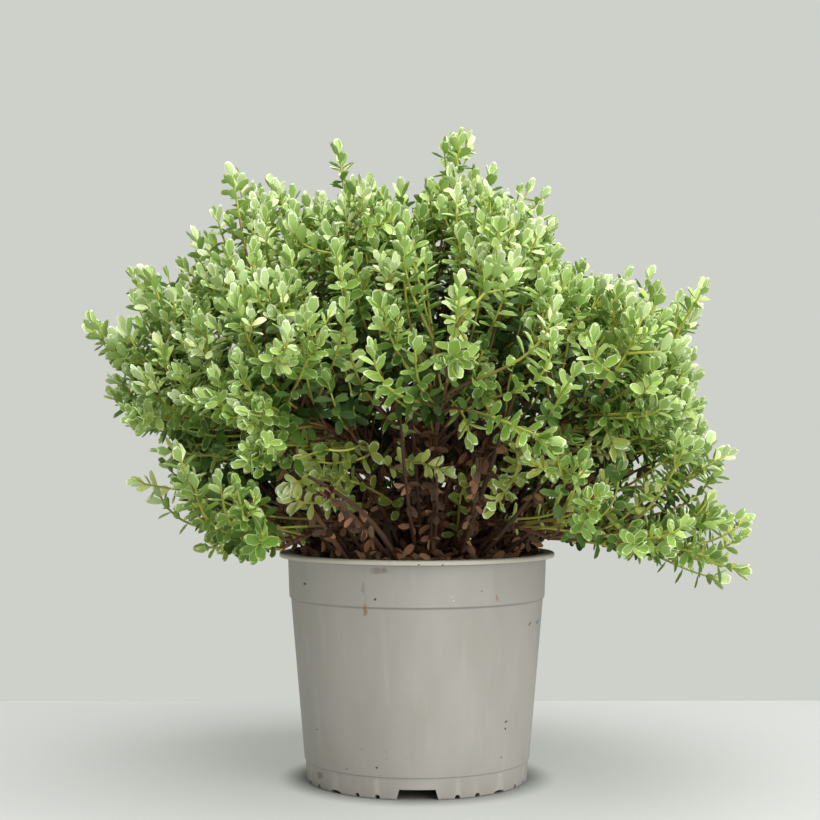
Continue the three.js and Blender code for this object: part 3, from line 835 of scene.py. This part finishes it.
def roughened(bar, paths, radii):
    plain = bentBars(bar, paths, radii)
    distance = bar.points[None, :, 2] / (paths.shape[1] - 1) * lengthsOf(paths)[:, None]
    turn = np.arctan2(bar.points[:, 1], bar.points[:, 0])[None]
    pair = np.round(distance / limb["scarStep"])
    near = np.exp(-((distance - pair * limb["scarStep"]) / limb["scarWidth"]) ** 2)
    swell = near * np.cos(turn - pair * math.pi / 2) ** 2 * limb["scar"]
    for size, depth in limb["relief"]:
        found = [noise.noise(Vector(point)) for point in (plain.reshape(-1, 3) / size).tolist()]
        swell = swell + np.array(found).reshape(swell.shape) * depth
    return plain + normalized(plain - paths[:, rowsOf(bar)]) * swell[..., None]


def makeBark():
    heap = Heap()
    bar = barTemplate(limb["sides"], limb["rows"])
    radii = between(limb["radii"], np.linspace(0, 1, limb["rows"])[None])
    made = roughened(bar, bezier(boughs, limb["rows"]), np.repeat(radii, len(boughs), axis=0))
    heap.add(bar, made, np.zeros((len(boughs), limb["rows"]), int))
    along = np.linspace(0, 1, trunk["rows"]) ** 1.4
    path = np.array([trunkPoint(a) for a in along])[None]
    path[0, 0, 2] -= trunk["sink"]
    height = trunk["course"][2, 2] - trunk["course"][0, 2]
    flare = trunk["flare"] * np.exp(-along * height / trunk["flareHeight"])
    post = barTemplate(trunk["sides"], trunk["rows"])
    made = roughened(post, path, (between(trunk["radii"], along) + flare)[None])
    turn = np.arctan2(post.points[:, 1], post.points[:, 0])
    push = limb["buttress"] * flare[rowsOf(post)] * np.cos(4 * turn + 0.6)
    made += normalized(made - path[:, rowsOf(post)]) * push[None, :, None]
    heap.add(post, made, np.zeros((1, trunk["rows"]), int))
    piece = heap.piece("barkLimbs", [barkFinish()])
    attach(piece, "root")
    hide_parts("trunk", *[f"bough_{own['name']}" for own in boughPlan])


makeBark()
print("bark is made")

# Shoots: the stem and twigs of each mass, finer shoots out to the crown's surface, and side shoots

growth = {
    "rows": 14, "sideRows": 6,
    "surfaceTips": 1150,  # over a whole sphere: about a third of them fall on the crown
    "innerTips": 620, "surfaceShare": (0.88, 0.98), "innerShare": (0.66, 0.84),
    "run": 104,  # from a shoot's root to its tip
    "shortestRun": 38,
    "lift": 0.74,  # how far tips turn upwards
    "depthLean": 0.3,  # how much of their lean to the front and back they keep
    "along": 0.7,  # how far a shoot's run follows its own aim rather than its end
    "sway": 0.15,
    "skyShare": 0.91,  # of the outline that the masses' own twigs may fill
    "skyShares": (0.82, 0.95),  # and the finer ones
    "mostPull": 0.74, "leaderDepth": 35, "scatter": 0.03, "offsets": (0.4, 1.7), "tipRise": 4,
    "thinnedRun": 0.55,  # of a stem that would end in a thin place
    "handles": {"stem": 0.3, "twig": (0.35, 0.42), "fine": (0.33, 0.46), "side": 0.35},  # shares of the run
    "runSpread": (0.8, 1.15), "tooNear": 200, "rootLift": 0.4,
    "stemShare": 0.7,  # of a stem that finer shoots leave from
    "holderRoom": 2, "holderBias": 1.7,  # how much a spray's root prefers what lies behind it
    "leafRoom": 9,  # for the leaves beyond a leader's tip
    "hang": 11,  # of leaves below the lowest tips
    "rimRoom": (25, 6),  # beside and above the pot's lip, where no fine shoot ends
    "frontThin": 0.55, "frontFacing": -0.6,
    "openFront": ((-105, 78), (205, 292), -66),  # across, up, depth: every other outer shoot is missing there
    "sideChance": 0.6, "sideShoots": (2, 5), "sideRun": (8, 18),
    "sideFrom": (9, 26), "sideStep": 9,  # below the tip
    "sideLow": 0.6, "sideGain": 0.25, "sideWay": (0.9, 0.75, 0.08), "sideLift": 0.35, "sideOut": 0.18,
    "seed": 905,
}


def evenly(path, rows):  # the same path with even steps
    gone = np.concatenate([[0], np.cumsum(norm(np.diff(path, axis=0), axis=1))])
    at = np.linspace(0, gone[-1], rows)
    return np.stack([np.interp(at, gone, path[:, i]) for i in range(3)], axis=1)


def fromFront(point):  # where a point stands against the outline: across, up
    near = studio["distance"] / (studio["distance"] + point[..., 1])
    return point[..., 0] * near, studio["height"] + (point[..., 2] - studio["height"]) * near


def atDepth(across, up, depth):  # the point that stands there
    near = studio["distance"] / (studio["distance"] + depth)
    return np.array([across / near, depth, studio["height"] + (up - studio["height"]) / near])


def skyReach(seen):  # how far the outline is from the crown's centre in a direction seen from the front
    angles = [math.atan2(up - centre[2], across) for across, up in outline]
    reaches = [math.hypot(up - centre[2], across) for across, up in outline]
    angle = math.atan2(seen[1] - centre[2], seen[0])
    if angle < -math.pi / 2:
        angle += math.tau
    return float(np.interp(angle, angles, reaches))


def fitTip(tip, share, most=growth["mostPull"]):  # pulls a tip in under the outline, or gives None
    seen = fromFront(tip)
    pull = min(1, skyReach(seen) * share / math.hypot(seen[0], seen[1] - centre[2]))
    if pull < most:
        return None
    tip = centre + (tip - centre) * pull
    across, up = fromFront(tip)
    tip[2] += max(0, np.interp(across, *zip(*skirt)) - up)
    return tip


def isThin(tip, draw):
    across, up = fromFront(tip)
    return any(abs(across - x) < wide and abs(up - z) < tall and draw < missing and tip[1] < furthest
               for x, z, wide, tall, missing, furthest in thinPlaces)


def isOpen(tip):
    across, up = fromFront(tip)
    (left, right), (low, high), before = growth["openFront"]
    return tip[1] < before and left < across < right and low < up < high


def isByRim(tip):
    beside, above = growth["rimRoom"]
    return tip[2] < pot["height"] + above and math.hypot(tip[0], tip[1]) < pot["lipRadius"] + beside


def tipWayOf(aim, sway=0.0):
    lift = growth["lift"] * (1 - max(aim[2], 0) * 0.5)
    lean = aim * np.array([1, growth["depthLean"], 1])
    return normalized(lean * (1 - lift) + upright * lift + sway)


def shootOf(path, mass, turn, kind):
    return {"path": path, "mass": mass, "turn": turn, "kind": kind}


def shootPath(root, early, late, tip):  # kept from dipping below both its ends
    lowest = min(root[2], tip[2])
    early[2], late[2] = max(early[2], lowest), max(late[2], lowest)
    return curve(growth["rows"], root, early, late, tip)


def growStems():  # the same stem and twigs as the source's, thinner, and run out to the crown's surface
    first, last = growth["handles"]["twig"]
    for number, own in enumerate(boughPlan):
        draw = drawFrom(own["seed"])
        start = own["bough"][2]
        end = fitTip(centre + own["aim"] * (own["reach"] - twigRule["tipRoom"]), growth["skyShare"], 0)
        if isThin(end, 0.5):
            end = start + (end - start) * growth["thinnedRun"]
        run = norm(end - start)
        bend = start + own["tipWay"] * run * twigRule["stemBend"]
        stem = shootPath(start, bend, end - tipWayOf(own["aim"]) * run * growth["handles"]["stem"], end)
        yield shootOf(stem, number, draw() * math.pi, "stem")
        firstTurn = draw() * math.tau
        square = normalized(np.cross(own["aim"], upright))
        for i in range(twigRule["count"]):
            share = i / (twigRule["count"] - 1)
            root = stem[int(round(between(twigRule["roots"], share) * (growth["rows"] - 1)))]
            turn = firstTurn + math.radians(twigRule["goldenAngle"]) * i
            spread = math.radians(between(twigRule["spreads"], share))
            axis = turned(square, own["aim"], np.array(turn))
            aim = turned(own["aim"], axis, np.array(spread))
            reach = crownReach(aim)[0] * between((twigRule["shortest"], 1), draw())
            leafTurn = draw() * math.pi
            tip = fitTip(centre + aim * (reach - twigRule["tipRoom"]), growth["skyShare"])
            if massOf(aim)[0] != number or tip is None or tip[2] < crown["lowest"]:
                continue
            if isThin(tip, leafTurn / math.pi):
                continue
            run = norm(tip - root)
            early = root + normalized(own["tipWay"] + (tip - root) / run) * run * first
            path = shootPath(root, early, tip - tipWayOf(aim) * run * last, tip)
            yield shootOf(path, number, leafTurn, "twig")


def skeletonOf(stems):  # for each mass, the points that finer shoots may leave from
    skeleton = []
    for number, bough in enumerate(boughs):
        paths = [curve(growth["rows"], *bough)[growth["rows"] // 2:]]
        paths += [s["path"][:int(growth["rows"] * growth["stemShare"])] for s in stems if s["mass"] == number]
        ways = np.concatenate([normalized(np.gradient(p, axis=0)) for p in paths])
        skeleton.append((np.concatenate(paths), ways))
    return skeleton


def growShoot(skeleton, tip, kind, draws):
    aim = normalized(tip - centre)
    number = int(massOf(aim)[0])
    spots, ways = skeleton[number]
    endWay = tipWayOf(aim, draws.normal(0, growth["sway"], 3))
    stretch = draws.uniform(*growth["runSpread"])
    wish = tip - normalized(aim * growth["along"] + endWay) * growth["run"] * stretch
    near = norm(spots - tip, axis=1) < growth["shortestRun"]
    cost = norm(spots - wish, axis=1) + growth["tooNear"] * near
    best = int(np.argmin(cost))
    root = spots[best]
    run = norm(tip - root)
    first, last = growth["handles"]["fine"]
    early = root + normalized(ways[best] + (tip - root) / run + upright * growth["rootLift"]) * run * first
    path = shootPath(root, early, tip - endWay * run * last, tip)
    return shootOf(path, number, draws.uniform(0, math.pi), kind)


def evenDirections(count, offset):  # spread over a sphere by the golden angle
    index = np.arange(count) + 0.5
    z = 1 - 2 * index / count
    turn = math.radians(twigRule["goldenAngle"]) * index + offset
    flat = np.sqrt(1 - z * z)
    return np.stack([flat * np.cos(turn), flat * np.sin(turn), z], axis=1)


def growFine(skeleton, count, shares, offset, kind, draws):
    directions = evenDirections(count, offset)
    directions = normalized(directions + draws.normal(0, growth["scatter"], directions.shape))
    for aim, reach in zip(directions, crownReach(directions)):
        share, chance = draws.uniform(*shares), draws.random()
        tip = centre + aim * (reach * share - twigRule["tipRoom"])
        if tip[2] < crown["lowest"] + growth["tipRise"]:
            continue
        tip = fitTip(tip, draws.uniform(*growth["skyShares"]))
        if tip is None or isThin(tip, chance):
            continue
        facing = aim[1] < growth["frontFacing"] and kind == "fine"
        if facing and draws.random() < growth["frontThin"]:
            continue
        if not isByRim(tip):
            yield growShoot(skeleton, tip, kind, draws)


def growLeaders(skeleton, draws):  # the shoots that draw the outline
    for across, up in outline:
        tip = atDepth(across, up, draws.uniform(-growth["leaderDepth"], growth["leaderDepth"]))
        tip = tip - normalized(tip - centre) * growth["leafRoom"]
        yield growShoot(skeleton, tip, "twig", draws)


def throughPoints(points, rows):  # a smooth course through given points
    ends = np.vstack([2 * points[0] - points[1], points, 2 * points[-1] - points[-2]])
    parts = []
    for a, b, c, d in zip(ends[:-3], ends[1:-2], ends[2:-1], ends[3:]):
        parts.append(curve(7, b, b + (c - a) / 6, c - (d - b) / 6, c)[:-1])
    return evenly(np.vstack(parts + [points[-1:]]), rows)


def growSprays(skeleton, draws):
    holders = np.concatenate([bezier(boughs, 24).reshape(-1, 3)] + [spots for spots, ways in skeleton])
    for kind, first, last, *course in sprays:
        course = np.reshape(course, (-1, 2))
        depths = np.linspace(first, last, len(course))
        points = np.array([atDepth(*place, depth) for place, depth in zip(course, depths)])
        gaps = points[0] - holders
        ahead = normalized(gaps) @ normalized(points[1] - points[0])
        holder = holders[np.argmin(norm(gaps, axis=1) * (growth["holderBias"] - ahead))]
        if norm(holder - points[0]) > growth["holderRoom"]:
            points = np.vstack([holder, points])
        path = throughPoints(points, growth["rows"])
        number = int(massOf(normalized(path[-1] - centre))[0])
        yield shootOf(path, number, draws.uniform(0, math.pi), kind)


def growFill(skeleton, draws):  # the dark growth low in the crown, beside the open foot
    for middle, half, count, kind in fillPlaces:
        for tip in np.array(middle) + draws.uniform(-1, 1, (count, 3)) * half:
            tip = fitTip(tip, growth["skyShare"], 0)
            if not isByRim(tip) and not isThin(tip, 0.5):
                yield growShoot(skeleton, tip, kind, draws)


def growSides(shoots, draws):  # short shoots in the leaf axils near the tips
    last, handle = growth["rows"] - 1, growth["handles"]["side"]
    on, off, stray = growth["sideWay"]
    for shoot in shoots:
        path = evenly(shoot["path"], growth["rows"])
        length = lengthsOf(path[None])[0]
        ways, sides, backs = (v[0] for v in framesAlong(path[None]))
        wanted = draws.integers(*growth["sideShoots"]) if draws.random() < growth["sideChance"] else 0
        start = draws.uniform(*growth["sideFrom"])
        for i in range(wanted):
            below = start + growth["sideStep"] * (i // 2)
            if below > length * growth["sideLow"]:
                break
            row = (1 - below / length) * last
            low = int(row)
            root = path[low] + (path[min(low + 1, last)] - path[low]) * (row - low)
            turn = shoot["turn"] + (i % 2) * math.pi + (i // 2) * math.pi / 2
            out = sides[low] * math.cos(turn) + backs[low] * math.sin(turn)
            run = draws.uniform(*growth["sideRun"]) + below * growth["sideGain"]
            way = normalized(ways[low] * on + out * off + draws.normal(0, stray, 3))
            endWay = normalized(ways[low] + upright * growth["sideLift"] + out * growth["sideOut"])
            tip = root + normalized(way + endWay * 0.8) * run
            early, late = root + way * run * handle, tip - endWay * run * handle
            reach = crownReach(normalized(tip - centre))[0]
            if norm(tip - centre) > reach - 1 or tip[2] < crown["lowest"] + 3:
                continue
            if not isThin(tip, draws.random()):
                fine = curve(growth["sideRows"], root, early, late, tip)
                yield shootOf(fine, shoot["mass"], draws.uniform(0, math.pi), "side")


draws = np.random.default_rng(growth["seed"])
stems = list(growStems())
skeleton = skeletonOf(stems)
leaders = list(growLeaders(skeleton, draws))
turnOut, turnIn = growth["offsets"]
surface = list(growFine(skeleton, growth["surfaceTips"], growth["surfaceShare"], turnOut, "fine", draws))
inner = list(growFine(skeleton, growth["innerTips"], growth["innerShare"], turnIn, "inner", draws))
ownWay = list(growSprays(skeleton, draws))
fill = list(growFill(skeleton, draws))
surface = [shoot for i, shoot in enumerate(surface) if i % 2 or not isOpen(shoot["path"][-1])]
mainShoots = stems + leaders + surface + inner + ownWay + fill
sideShoots = list(growSides(stems + leaders + surface, draws))
shootSets = ((mainShoots, growth["rows"]), (sideShoots, growth["sideRows"]))
print("shoots are grown:", len(mainShoots), "and", len(sideShoots), "at their sides")

# Twigs

twigLook = {
    "sides": (5, 4),  # of a shoot and of a side shoot
    "radii": {  # at the root, at the tip
        "stem": (1.2, 0.65), "twig": (1.05, 0.6), "fine": (0.95, 0.6), "inner": (0.9, 0.55),
        "side": (0.65, 0.5), "arch": (1.5, 0.7), "wisp": (1.0, 0.6), "ladder": (1.1, 0.65)},
    "youngTo": 42,  # from the tip, where green turns to olive
    "oliveTo": 66,  # and olive to brown
    "tones": {"youngTwig": (170, 174, 72), "oliveTwig": (138, 126, 60), "brownTwig": (100, 70, 48)},
}


def makeTwigs():
    heap = Heap()
    for (shoots, rows), sides in zip(shootSets, twigLook["sides"]):
        bar = barTemplate(sides, rows)
        paths = np.array([evenly(s["path"], rows) for s in shoots])
        ends = np.array([twigLook["radii"][s["kind"]] for s in shoots]).T[:, :, None]
        below = (1 - np.arange(rows)[None] / (rows - 1)) * lengthsOf(paths)[:, None]
        tones = (below > twigLook["youngTo"]).astype(int) + (below > twigLook["oliveTo"])
        heap.add(bar, bentBars(bar, paths, between(ends, np.linspace(0, 1, rows)[None])), tones)
    piece = heap.piece("twigs", [plainFinish(name, tone, 0.6) for name, tone in twigLook["tones"].items()])
    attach(piece, "root")


makeTwigs()
print("twigs are made")

# Leaves

leafLook = {
    "rows": [(0.0, 0.14), (0.28, 0.74), (0.6, 1.0), (0.87, 0.7), (1.0, 0.24)],  # along the blade, width there
    "shortRows": [(0.0, 0.16), (0.4, 0.96), (0.83, 0.8), (1.0, 0.26)],
    "tipRows": [(0.0, 0.16), (0.46, 1.0), (0.89, 0.62), (1.0, 0.2)],
    "halfWidth": 0.28,
    "rimFrom": (0.825, 0.865),  # of the youngest and of other leaves
    "fold": 0.12, "thickness": 0.014,
    "curls": [0.22, 0.06, -0.05],  # young, mid and old blades
    "formAges": (0.3, 2.8),
    "length": 9.9,
    "spacings": [  # of the pairs, from the tip
        0.4, 3.2, 7, 11.5, 16.5, 22, 28, 34.5, 41.5, 49, 57, 65.5, 74, 83, 92],
    "angles": [12, 38, 58, 70, 78, 82, 84, 85, 86, 87, 88, 88, 88, 88, 88],
    "sizes": [0.86, 0.95, 0.98, 1.0, 0.99, 0.97, 0.95, 0.93, 0.91, 0.89, 0.87, 0.85, 0.84, 0.83, 0.82],
    "openness": 7,
    "leafy": {"stem": (70, 95), "twig": (65, 95), "fine": (55, 90), "inner": (40, 75), "side": (22, 34),
              "arch": (70, 110), "wisp": (60, 90), "ladder": (85, 120)},
    "groups": (6, 6, 3, 5, 5),  # how many masses' leaves each piece holds
    "missing": 0.05, "oldMissing": 0.3, "sideSize": 0.82, "tipWidth": 1.14, "stalk": 0.3, "bareFoot": 0.88,
    "tintSpread": 0.55, "widthSpread": 0.08, "sizeSpread": 0.07, "spacingSpread": 0.05,
    "pairSpread": 0.12, "turnSpread": 0.1, "angleSpread": 5, "rollSpread": 0.2, "vigourSpread": 0.08,
    "seed": 412,
    "lightHeight": 262,  # painted shade: leaves lower down are darker by a step in each run, and those at the sides lighter
    "lightRun": 98, "sideRun": 310,
    "ownCourse": ("arch", "wisp", "ladder"),  # which stay bright within the crown, with no painted shade
    "golden": ("arch", "wisp"),  # whose blades are yellower
    "goldenBlade": [(224, 228, 140), (190, 202, 96), (150, 166, 66), (112, 130, 48)],
    # these three lists step from pale to dark by a leaf's age together with painted light and shade
    "blade": [(219, 235, 166), (181, 207, 112), (140, 172, 72), (108, 144, 50), (80, 114, 38), (54, 82, 28)],
    "leafEdge": [(246, 250, 230), (224, 236, 188), (178, 200, 126), (116, 146, 72)],
    "leafUnder": [(194, 216, 148), (159, 189, 104), (118, 150, 70), (78, 110, 46)],
    "ageRun": 34,  # along a shoot to a darker, older leaf, and into the crown to a leaf darker by painted shade
    "shadeDepth": 32,
    "oldest": 3.4,  # of the leaves low in front; older ones have fallen
    "fallenFront": -12, "fallenBelow": 219,
}


def leafTemplate(rows, curl, rims=(None, None)):  # a shallow closed dish, with pale rims from these shares on
    bm = bmesh.new()
    last = len(rows) - 1

    def line(share, ends, sunk=0.0):
        verts = []
        for along, width in rows[ends:len(rows) - ends]:
            lift = leafLook["fold"] * abs(share) * width + curl * along ** 2 - sunk * (1 - abs(share))
            verts.append(bm.verts.new((share * leafLook["halfWidth"] * width, along, lift)))
        return verts

    def face(kind, under, *corners):
        bm.faces.new(corners[::-1] if under else corners).material_index = kind
    left, right = line(-1, 0), line(1, 0)
    for under, rim in enumerate(rims):
        blade, sunk = 2 * under, leafLook["thickness"] * under
        rib = line(0, 1, sunk)
        near, far = left[1:last], right[1:last]
        if rim:
            near, far = line(-rim, 1, sunk), line(rim, 1, sunk)
            face(1, under, left[0], near[0], left[1])
            face(1, under, right[0], right[1], far[0])
            face(1, under, left[last - 1], near[-1], rib[-1], left[last])
            face(1, under, rib[-1], far[-1], right[last - 1], right[last])
            face(1, under, rib[-1], right[last], left[last])
        else:
            face(blade, under, left[last - 1], rib[-1], right[last - 1], right[last], left[last])
        face(blade, under, left[0], right[0], far[0], rib[0], near[0])
        for i in range(last - 2):
            face(blade, under, near[i], rib[i], rib[i + 1], near[i + 1])
            face(blade, under, rib[i], far[i], far[i + 1], rib[i + 1])
            if rim:
                face(1, under, left[i + 1], near[i], near[i + 1], left[i + 2])
                face(1, under, far[i], right[i + 1], right[i + 2], far[i + 1])
    return Template(bm)


def pickRow(table, row):
    low = np.clip(np.floor(row).astype(int), 0, table.shape[1] - 2)
    share = (row - low)[:, None]
    index = np.arange(len(table))
    return table[index, low] * (1 - share) + table[index, low + 1] * share


def spreadLeaves(shoots, rows, draws):
    paths = np.array([evenly(s["path"], rows) for s in shoots])
    ways, sides, backs = framesAlong(paths)
    lengths, count = lengthsOf(paths), len(shoots)
    firstTurn, masses, kinds = (np.array([s[key] for s in shoots]) for key in ("turn", "mass", "kind"))
    leafy = draws.uniform(*np.array([leafLook["leafy"][kind] for kind in kinds]).T)
    tint = draws.normal(0, leafLook["tintSpread"], count)
    # leaves of inner shoots are darker: painted shade within the crown
    inner = (kinds == "inner").astype(float)
    ownCourse, golden = np.isin(kinds, leafLook["ownCourse"]), np.isin(kinds, leafLook["golden"])
    small = np.where(kinds == "side", leafLook["sideSize"], 1.0)
    vigour = draws.normal(1, leafLook["vigourSpread"], count)
    openness = draws.normal(0, leafLook["openness"], count)
    found = []
    for k, below in enumerate(leafLook["spacings"]):
        dropped = below * draws.normal(1, leafLook["spacingSpread"], count)
        row = (1 - dropped / lengths) * (rows - 1)
        spot, way, side = pickRow(paths, row), normalized(pickRow(ways, row)), normalized(pickRow(sides, row))
        back = np.cross(way, side)
        turn = firstTurn + k * math.pi / 2 + draws.normal(0, leafLook["pairSpread"], count)
        across, up = fromFront(spot)
        there = (dropped < leafy) & (dropped < lengths * leafLook["bareFoot"])
        there &= (up > np.interp(across, *zip(*skirt)) - growth["hang"]) | ownCourse
        fromCentre = spot - centre
        inside = crownReach(normalized(fromCentre)) - norm(fromCentre, axis=1)
        # painted shade: darker lower down and deeper in the crown, lighter at the sides
        low = np.clip((leafLook["lightHeight"] - spot[:, 2]) / leafLook["lightRun"], -1.2, 0.7)
        low -= np.abs(spot[:, 0]) / leafLook["sideRun"]
        shadow = np.maximum(inside, 0) / leafLook["shadeDepth"] + low
        ageAndShade = below / leafLook["ageRun"] + shadow * ~ownCourse + tint + inner - 0.4
        for half in (0, math.pi):
            around = turn + half + draws.normal(0, leafLook["turnSpread"], count)
            out = side * np.cos(around)[:, None] + back * np.sin(around)[:, None]
            stray = draws.normal(0, leafLook["angleSpread"], count)
            wide = np.maximum(leafLook["angles"][k] + openness * min(1, k / 2) + stray, 5)
            angle = np.radians(wide)[:, None]
            axis = way * np.cos(angle) + out * np.sin(angle)
            roll = draws.normal(0, leafLook["rollSpread"], count)
            upper = turned(way * np.sin(angle) - out * np.cos(angle), axis, roll)
            missing = leafLook["missing"] + leafLook["oldMissing"] * (below / 90) ** 2
            keep = there & (draws.random(count) > missing)
            size = leafLook["length"] * leafLook["sizes"][k] * small * vigour
            size = size * draws.normal(1, leafLook["sizeSpread"], count)
            width = draws.normal(leafLook["tipWidth"] if k < 2 else 1, leafLook["widthSpread"], count)
            found.append({
                "base": spot + out * leafLook["stalk"], "axis": axis, "upper": upper, "size": size,
                "wide": width, "ageAndShade": ageAndShade, "pair": np.full(count, k), "mass": masses, "golden": golden,
                "keep": keep,
            })
    table = {key: np.concatenate([f[key] for f in found]) for key in found[0]}
    y, z = table["base"][:, 1], table["base"][:, 2]
    fallen = (y < leafLook["fallenFront"]) & (z < leafLook["fallenBelow"])
    keep = table.pop("keep") & ~(fallen & (table["ageAndShade"] > leafLook["oldest"]))
    return {key: value[keep] for key, value in table.items()}


def makeLeaves():
    draws = np.random.default_rng(leafLook["seed"])
    parts = [spreadLeaves(*shoots, draws) for shoots in shootSets]
    leaves = {key: np.concatenate([part[key] for part in parts]) for key in parts[0]}
    young, mid, old = leafLook["curls"]
    tipRim, rim = leafLook["rimFrom"]
    short = leafLook["shortRows"]
    templates = [leafTemplate(leafLook["tipRows"], young, (tipRim, tipRim)),
                 leafTemplate(leafLook["rows"], mid, (rim, None)),
                 leafTemplate(short, mid, (rim, None)), leafTemplate(short, old)]
    ageAndShade = leaves["ageAndShade"]
    form = np.where(leaves["pair"] < 2, 0, 1 + np.searchsorted(leafLook["formAges"], ageAndShade, side="right"))
    bladeStep, edgeStep = np.round(ageAndShade + 1), np.round(ageAndShade * 0.6 + 0.9)
    looks = [("blade", 0.48, bladeStep), ("leafEdge", 0.5, edgeStep), ("leafUnder", 0.6, edgeStep),
             ("goldenBlade", 0.48, bladeStep)]
    finishes, slots = [], []
    for name, roughness, step in looks:
        slots.append(len(finishes) + np.clip(step, 0, len(leafLook[name]) - 1).astype(int))
        finishes += plainFinishes(name, leafLook[name], roughness)
    goldenSlot = slots.pop()
    slots[0] = np.where(leaves["golden"], goldenSlot, slots[0])
    slots = np.stack(slots, axis=1)
    leaves["cross"] = np.cross(leaves["axis"], leaves["upper"]) * leaves["wide"][:, None]
    groups = np.repeat(np.arange(len(leafLook["groups"])), leafLook["groups"])
    for group in range(len(leafLook["groups"])):
        heap = Heap()
        for number, template in enumerate(templates):
            chosen = (groups[leaves["mass"]] == group) & (form == number)
            size, base, *axes = (leaves[key][chosen] for key in ("size", "base", "cross", "axis", "upper"))
            local = template.points[None] * size[:, None, None]
            heap.add(template, placed(local, base, *axes), slots[chosen])
        piece = heap.piece(f"leaves{group + 1}", finishes, 70)
        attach(piece, "root")
        members = [own["name"] for own, place in zip(boughPlan, groups) if place == group]
        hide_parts(*[f"foliage_{name}" for name in members])


makeLeaves()
print("leaves are made")

# Dry leaves and bare twigs round the foot

dryLook = {
    "canes": 84, "caneSpread": 63, "caneRun": (62, 118), "caneRadii": (1.7, 0.8),
    "twigs": 80, "twigRun": (22, 60), "twigRadii": (0.85, 0.45), "sides": 5, "steps": 8,
    "footDepth": 2, "lean": (0.15, 62), "caneStray": 0.14, "caneBend": 0.16,  # how canes lean outwards
    "twigFrom": (2, 24), "twigRise": (0.5, 2.2), "twigBend": 0.25, "thickness": (0.75, 1.2),
    "leaves": 2300, "litter": 300, "length": 7.9, "width": 0.86, "curl": -0.16,
    "lengthSpread": 0.15, "hanging": (-2.0, 0.2), "lying": (0, 0.6), "fromRim": 9, "lift": 1.5,
    "rows": [(0.0, 0.16), (0.36, 0.88), (0.76, 0.94), (1.0, 0.36)],
    "stems": [(108, 76, 55), (80, 57, 43)],
    "shades": [(150, 106, 76), (120, 86, 61), (98, 72, 53), (168, 124, 90), (76, 57, 43), (88, 66, 49)],
    "seed": 337,
}


def bentFrom(roots, ways, runs, sway, draws):
    ends = roots + normalized(ways + draws.normal(0, sway, ways.shape)) * runs
    return bezier(np.stack([roots, roots + ways * runs * 0.5, ends], axis=1), dryLook["steps"])


def dryPaths(draws):  # old canes from the soil and dead twigs on the boughs
    limbs = bezier(boughs, 40)
    count = dryLook["canes"]
    radius = dryLook["caneSpread"] * np.sqrt(draws.uniform(0.02, 1, count))
    angle = draws.uniform(0, math.tau, count)
    out = np.stack([np.cos(angle), np.sin(angle), np.zeros(count)], axis=1)
    feet = out * radius[:, None] + upright * (compostTop(radius)[:, None] - dryLook["footDepth"])
    least, gain = dryLook["lean"]
    stray = draws.normal(0, dryLook["caneStray"], (count, 3))
    ways = normalized(out * (least + radius[:, None] / gain) + upright + stray)
    runs = draws.uniform(*dryLook["caneRun"], count)[:, None]
    canes = bentFrom(feet, ways, runs, dryLook["caneBend"], draws)
    count = dryLook["twigs"]
    roots = limbs[draws.integers(0, len(limbs), count), draws.integers(*dryLook["twigFrom"], count)]
    heading = draws.uniform(0, math.tau, count)
    rise = draws.uniform(*dryLook["twigRise"], count)
    ways = normalized(np.stack([np.cos(heading), np.sin(heading), rise], axis=1))
    runs = draws.uniform(*dryLook["twigRun"], count)[:, None]
    twigs = bentFrom(roots, ways, runs, dryLook["twigBend"], draws)
    return canes, twigs, limbs


def makeDry():
    draws = np.random.default_rng(dryLook["seed"])
    canes, twigs, limbs = dryPaths(draws)
    heap = Heap()
    steps, tones = dryLook["steps"], len(dryLook["stems"])
    bar = barTemplate(dryLook["sides"], steps)
    for paths, ends in ((canes, dryLook["caneRadii"]), (twigs, dryLook["twigRadii"])):
        radii = np.linspace(*ends, steps)[None] * draws.uniform(*dryLook["thickness"], (len(paths), 1))
        slots = np.repeat(draws.integers(0, tones, (len(paths), 1)), steps, axis=1)
        heap.add(bar, bentBars(bar, paths, radii), slots)
    piece = heap.piece("oldStems", plainFinishes("oldStem", dryLook["stems"], 0.8))
    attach(piece, "root")

    leaf = leafTemplate(dryLook["rows"], dryLook["curl"])
    held, lying = dryLook["leaves"], dryLook["litter"]
    count = held + lying
    parts = [limbs[:, slice(*dryLook["twigFrom"])], twigs[:, 1:]] + [canes[:, 1:-1]] * 3
    holders = np.concatenate([part.reshape(-1, 3) for part in parts])
    radius = (compostEdge - dryLook["fromRim"]) * np.sqrt(draws.uniform(0, 1, lying))
    ground = onCompost(radius, draws.uniform(0, math.tau, lying), dryLook["lift"])
    base = np.concatenate([holders[draws.integers(0, len(holders), held)], ground])
    fall = [draws.uniform(*dryLook["hanging"], held), draws.uniform(*dryLook["lying"], lying)]
    fall = np.concatenate(fall)
    out = normalized(np.concatenate([draws.normal(0, 1, (count, 2)), fall[:, None]], axis=1))
    across = normalized(np.cross(out, draws.normal(0, 1, (count, 3))))
    size = dryLook["length"] * draws.normal(1, dryLook["lengthSpread"], count)
    local = leaf.points[None] * size[:, None, None]
    dry = Heap()
    tones = draws.integers(0, len(dryLook["shades"]), (count, 1))
    places = placed(local, base, across * dryLook["width"], out, np.cross(across, out))
    dry.add(leaf, places, np.repeat(tones, 3, axis=1))
    piece = dry.piece("dryLeaves", plainFinishes("dryLeaf", dryLook["shades"], 0.75), 70)
    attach(piece, "root")


makeDry()
print("dry leaves are made")
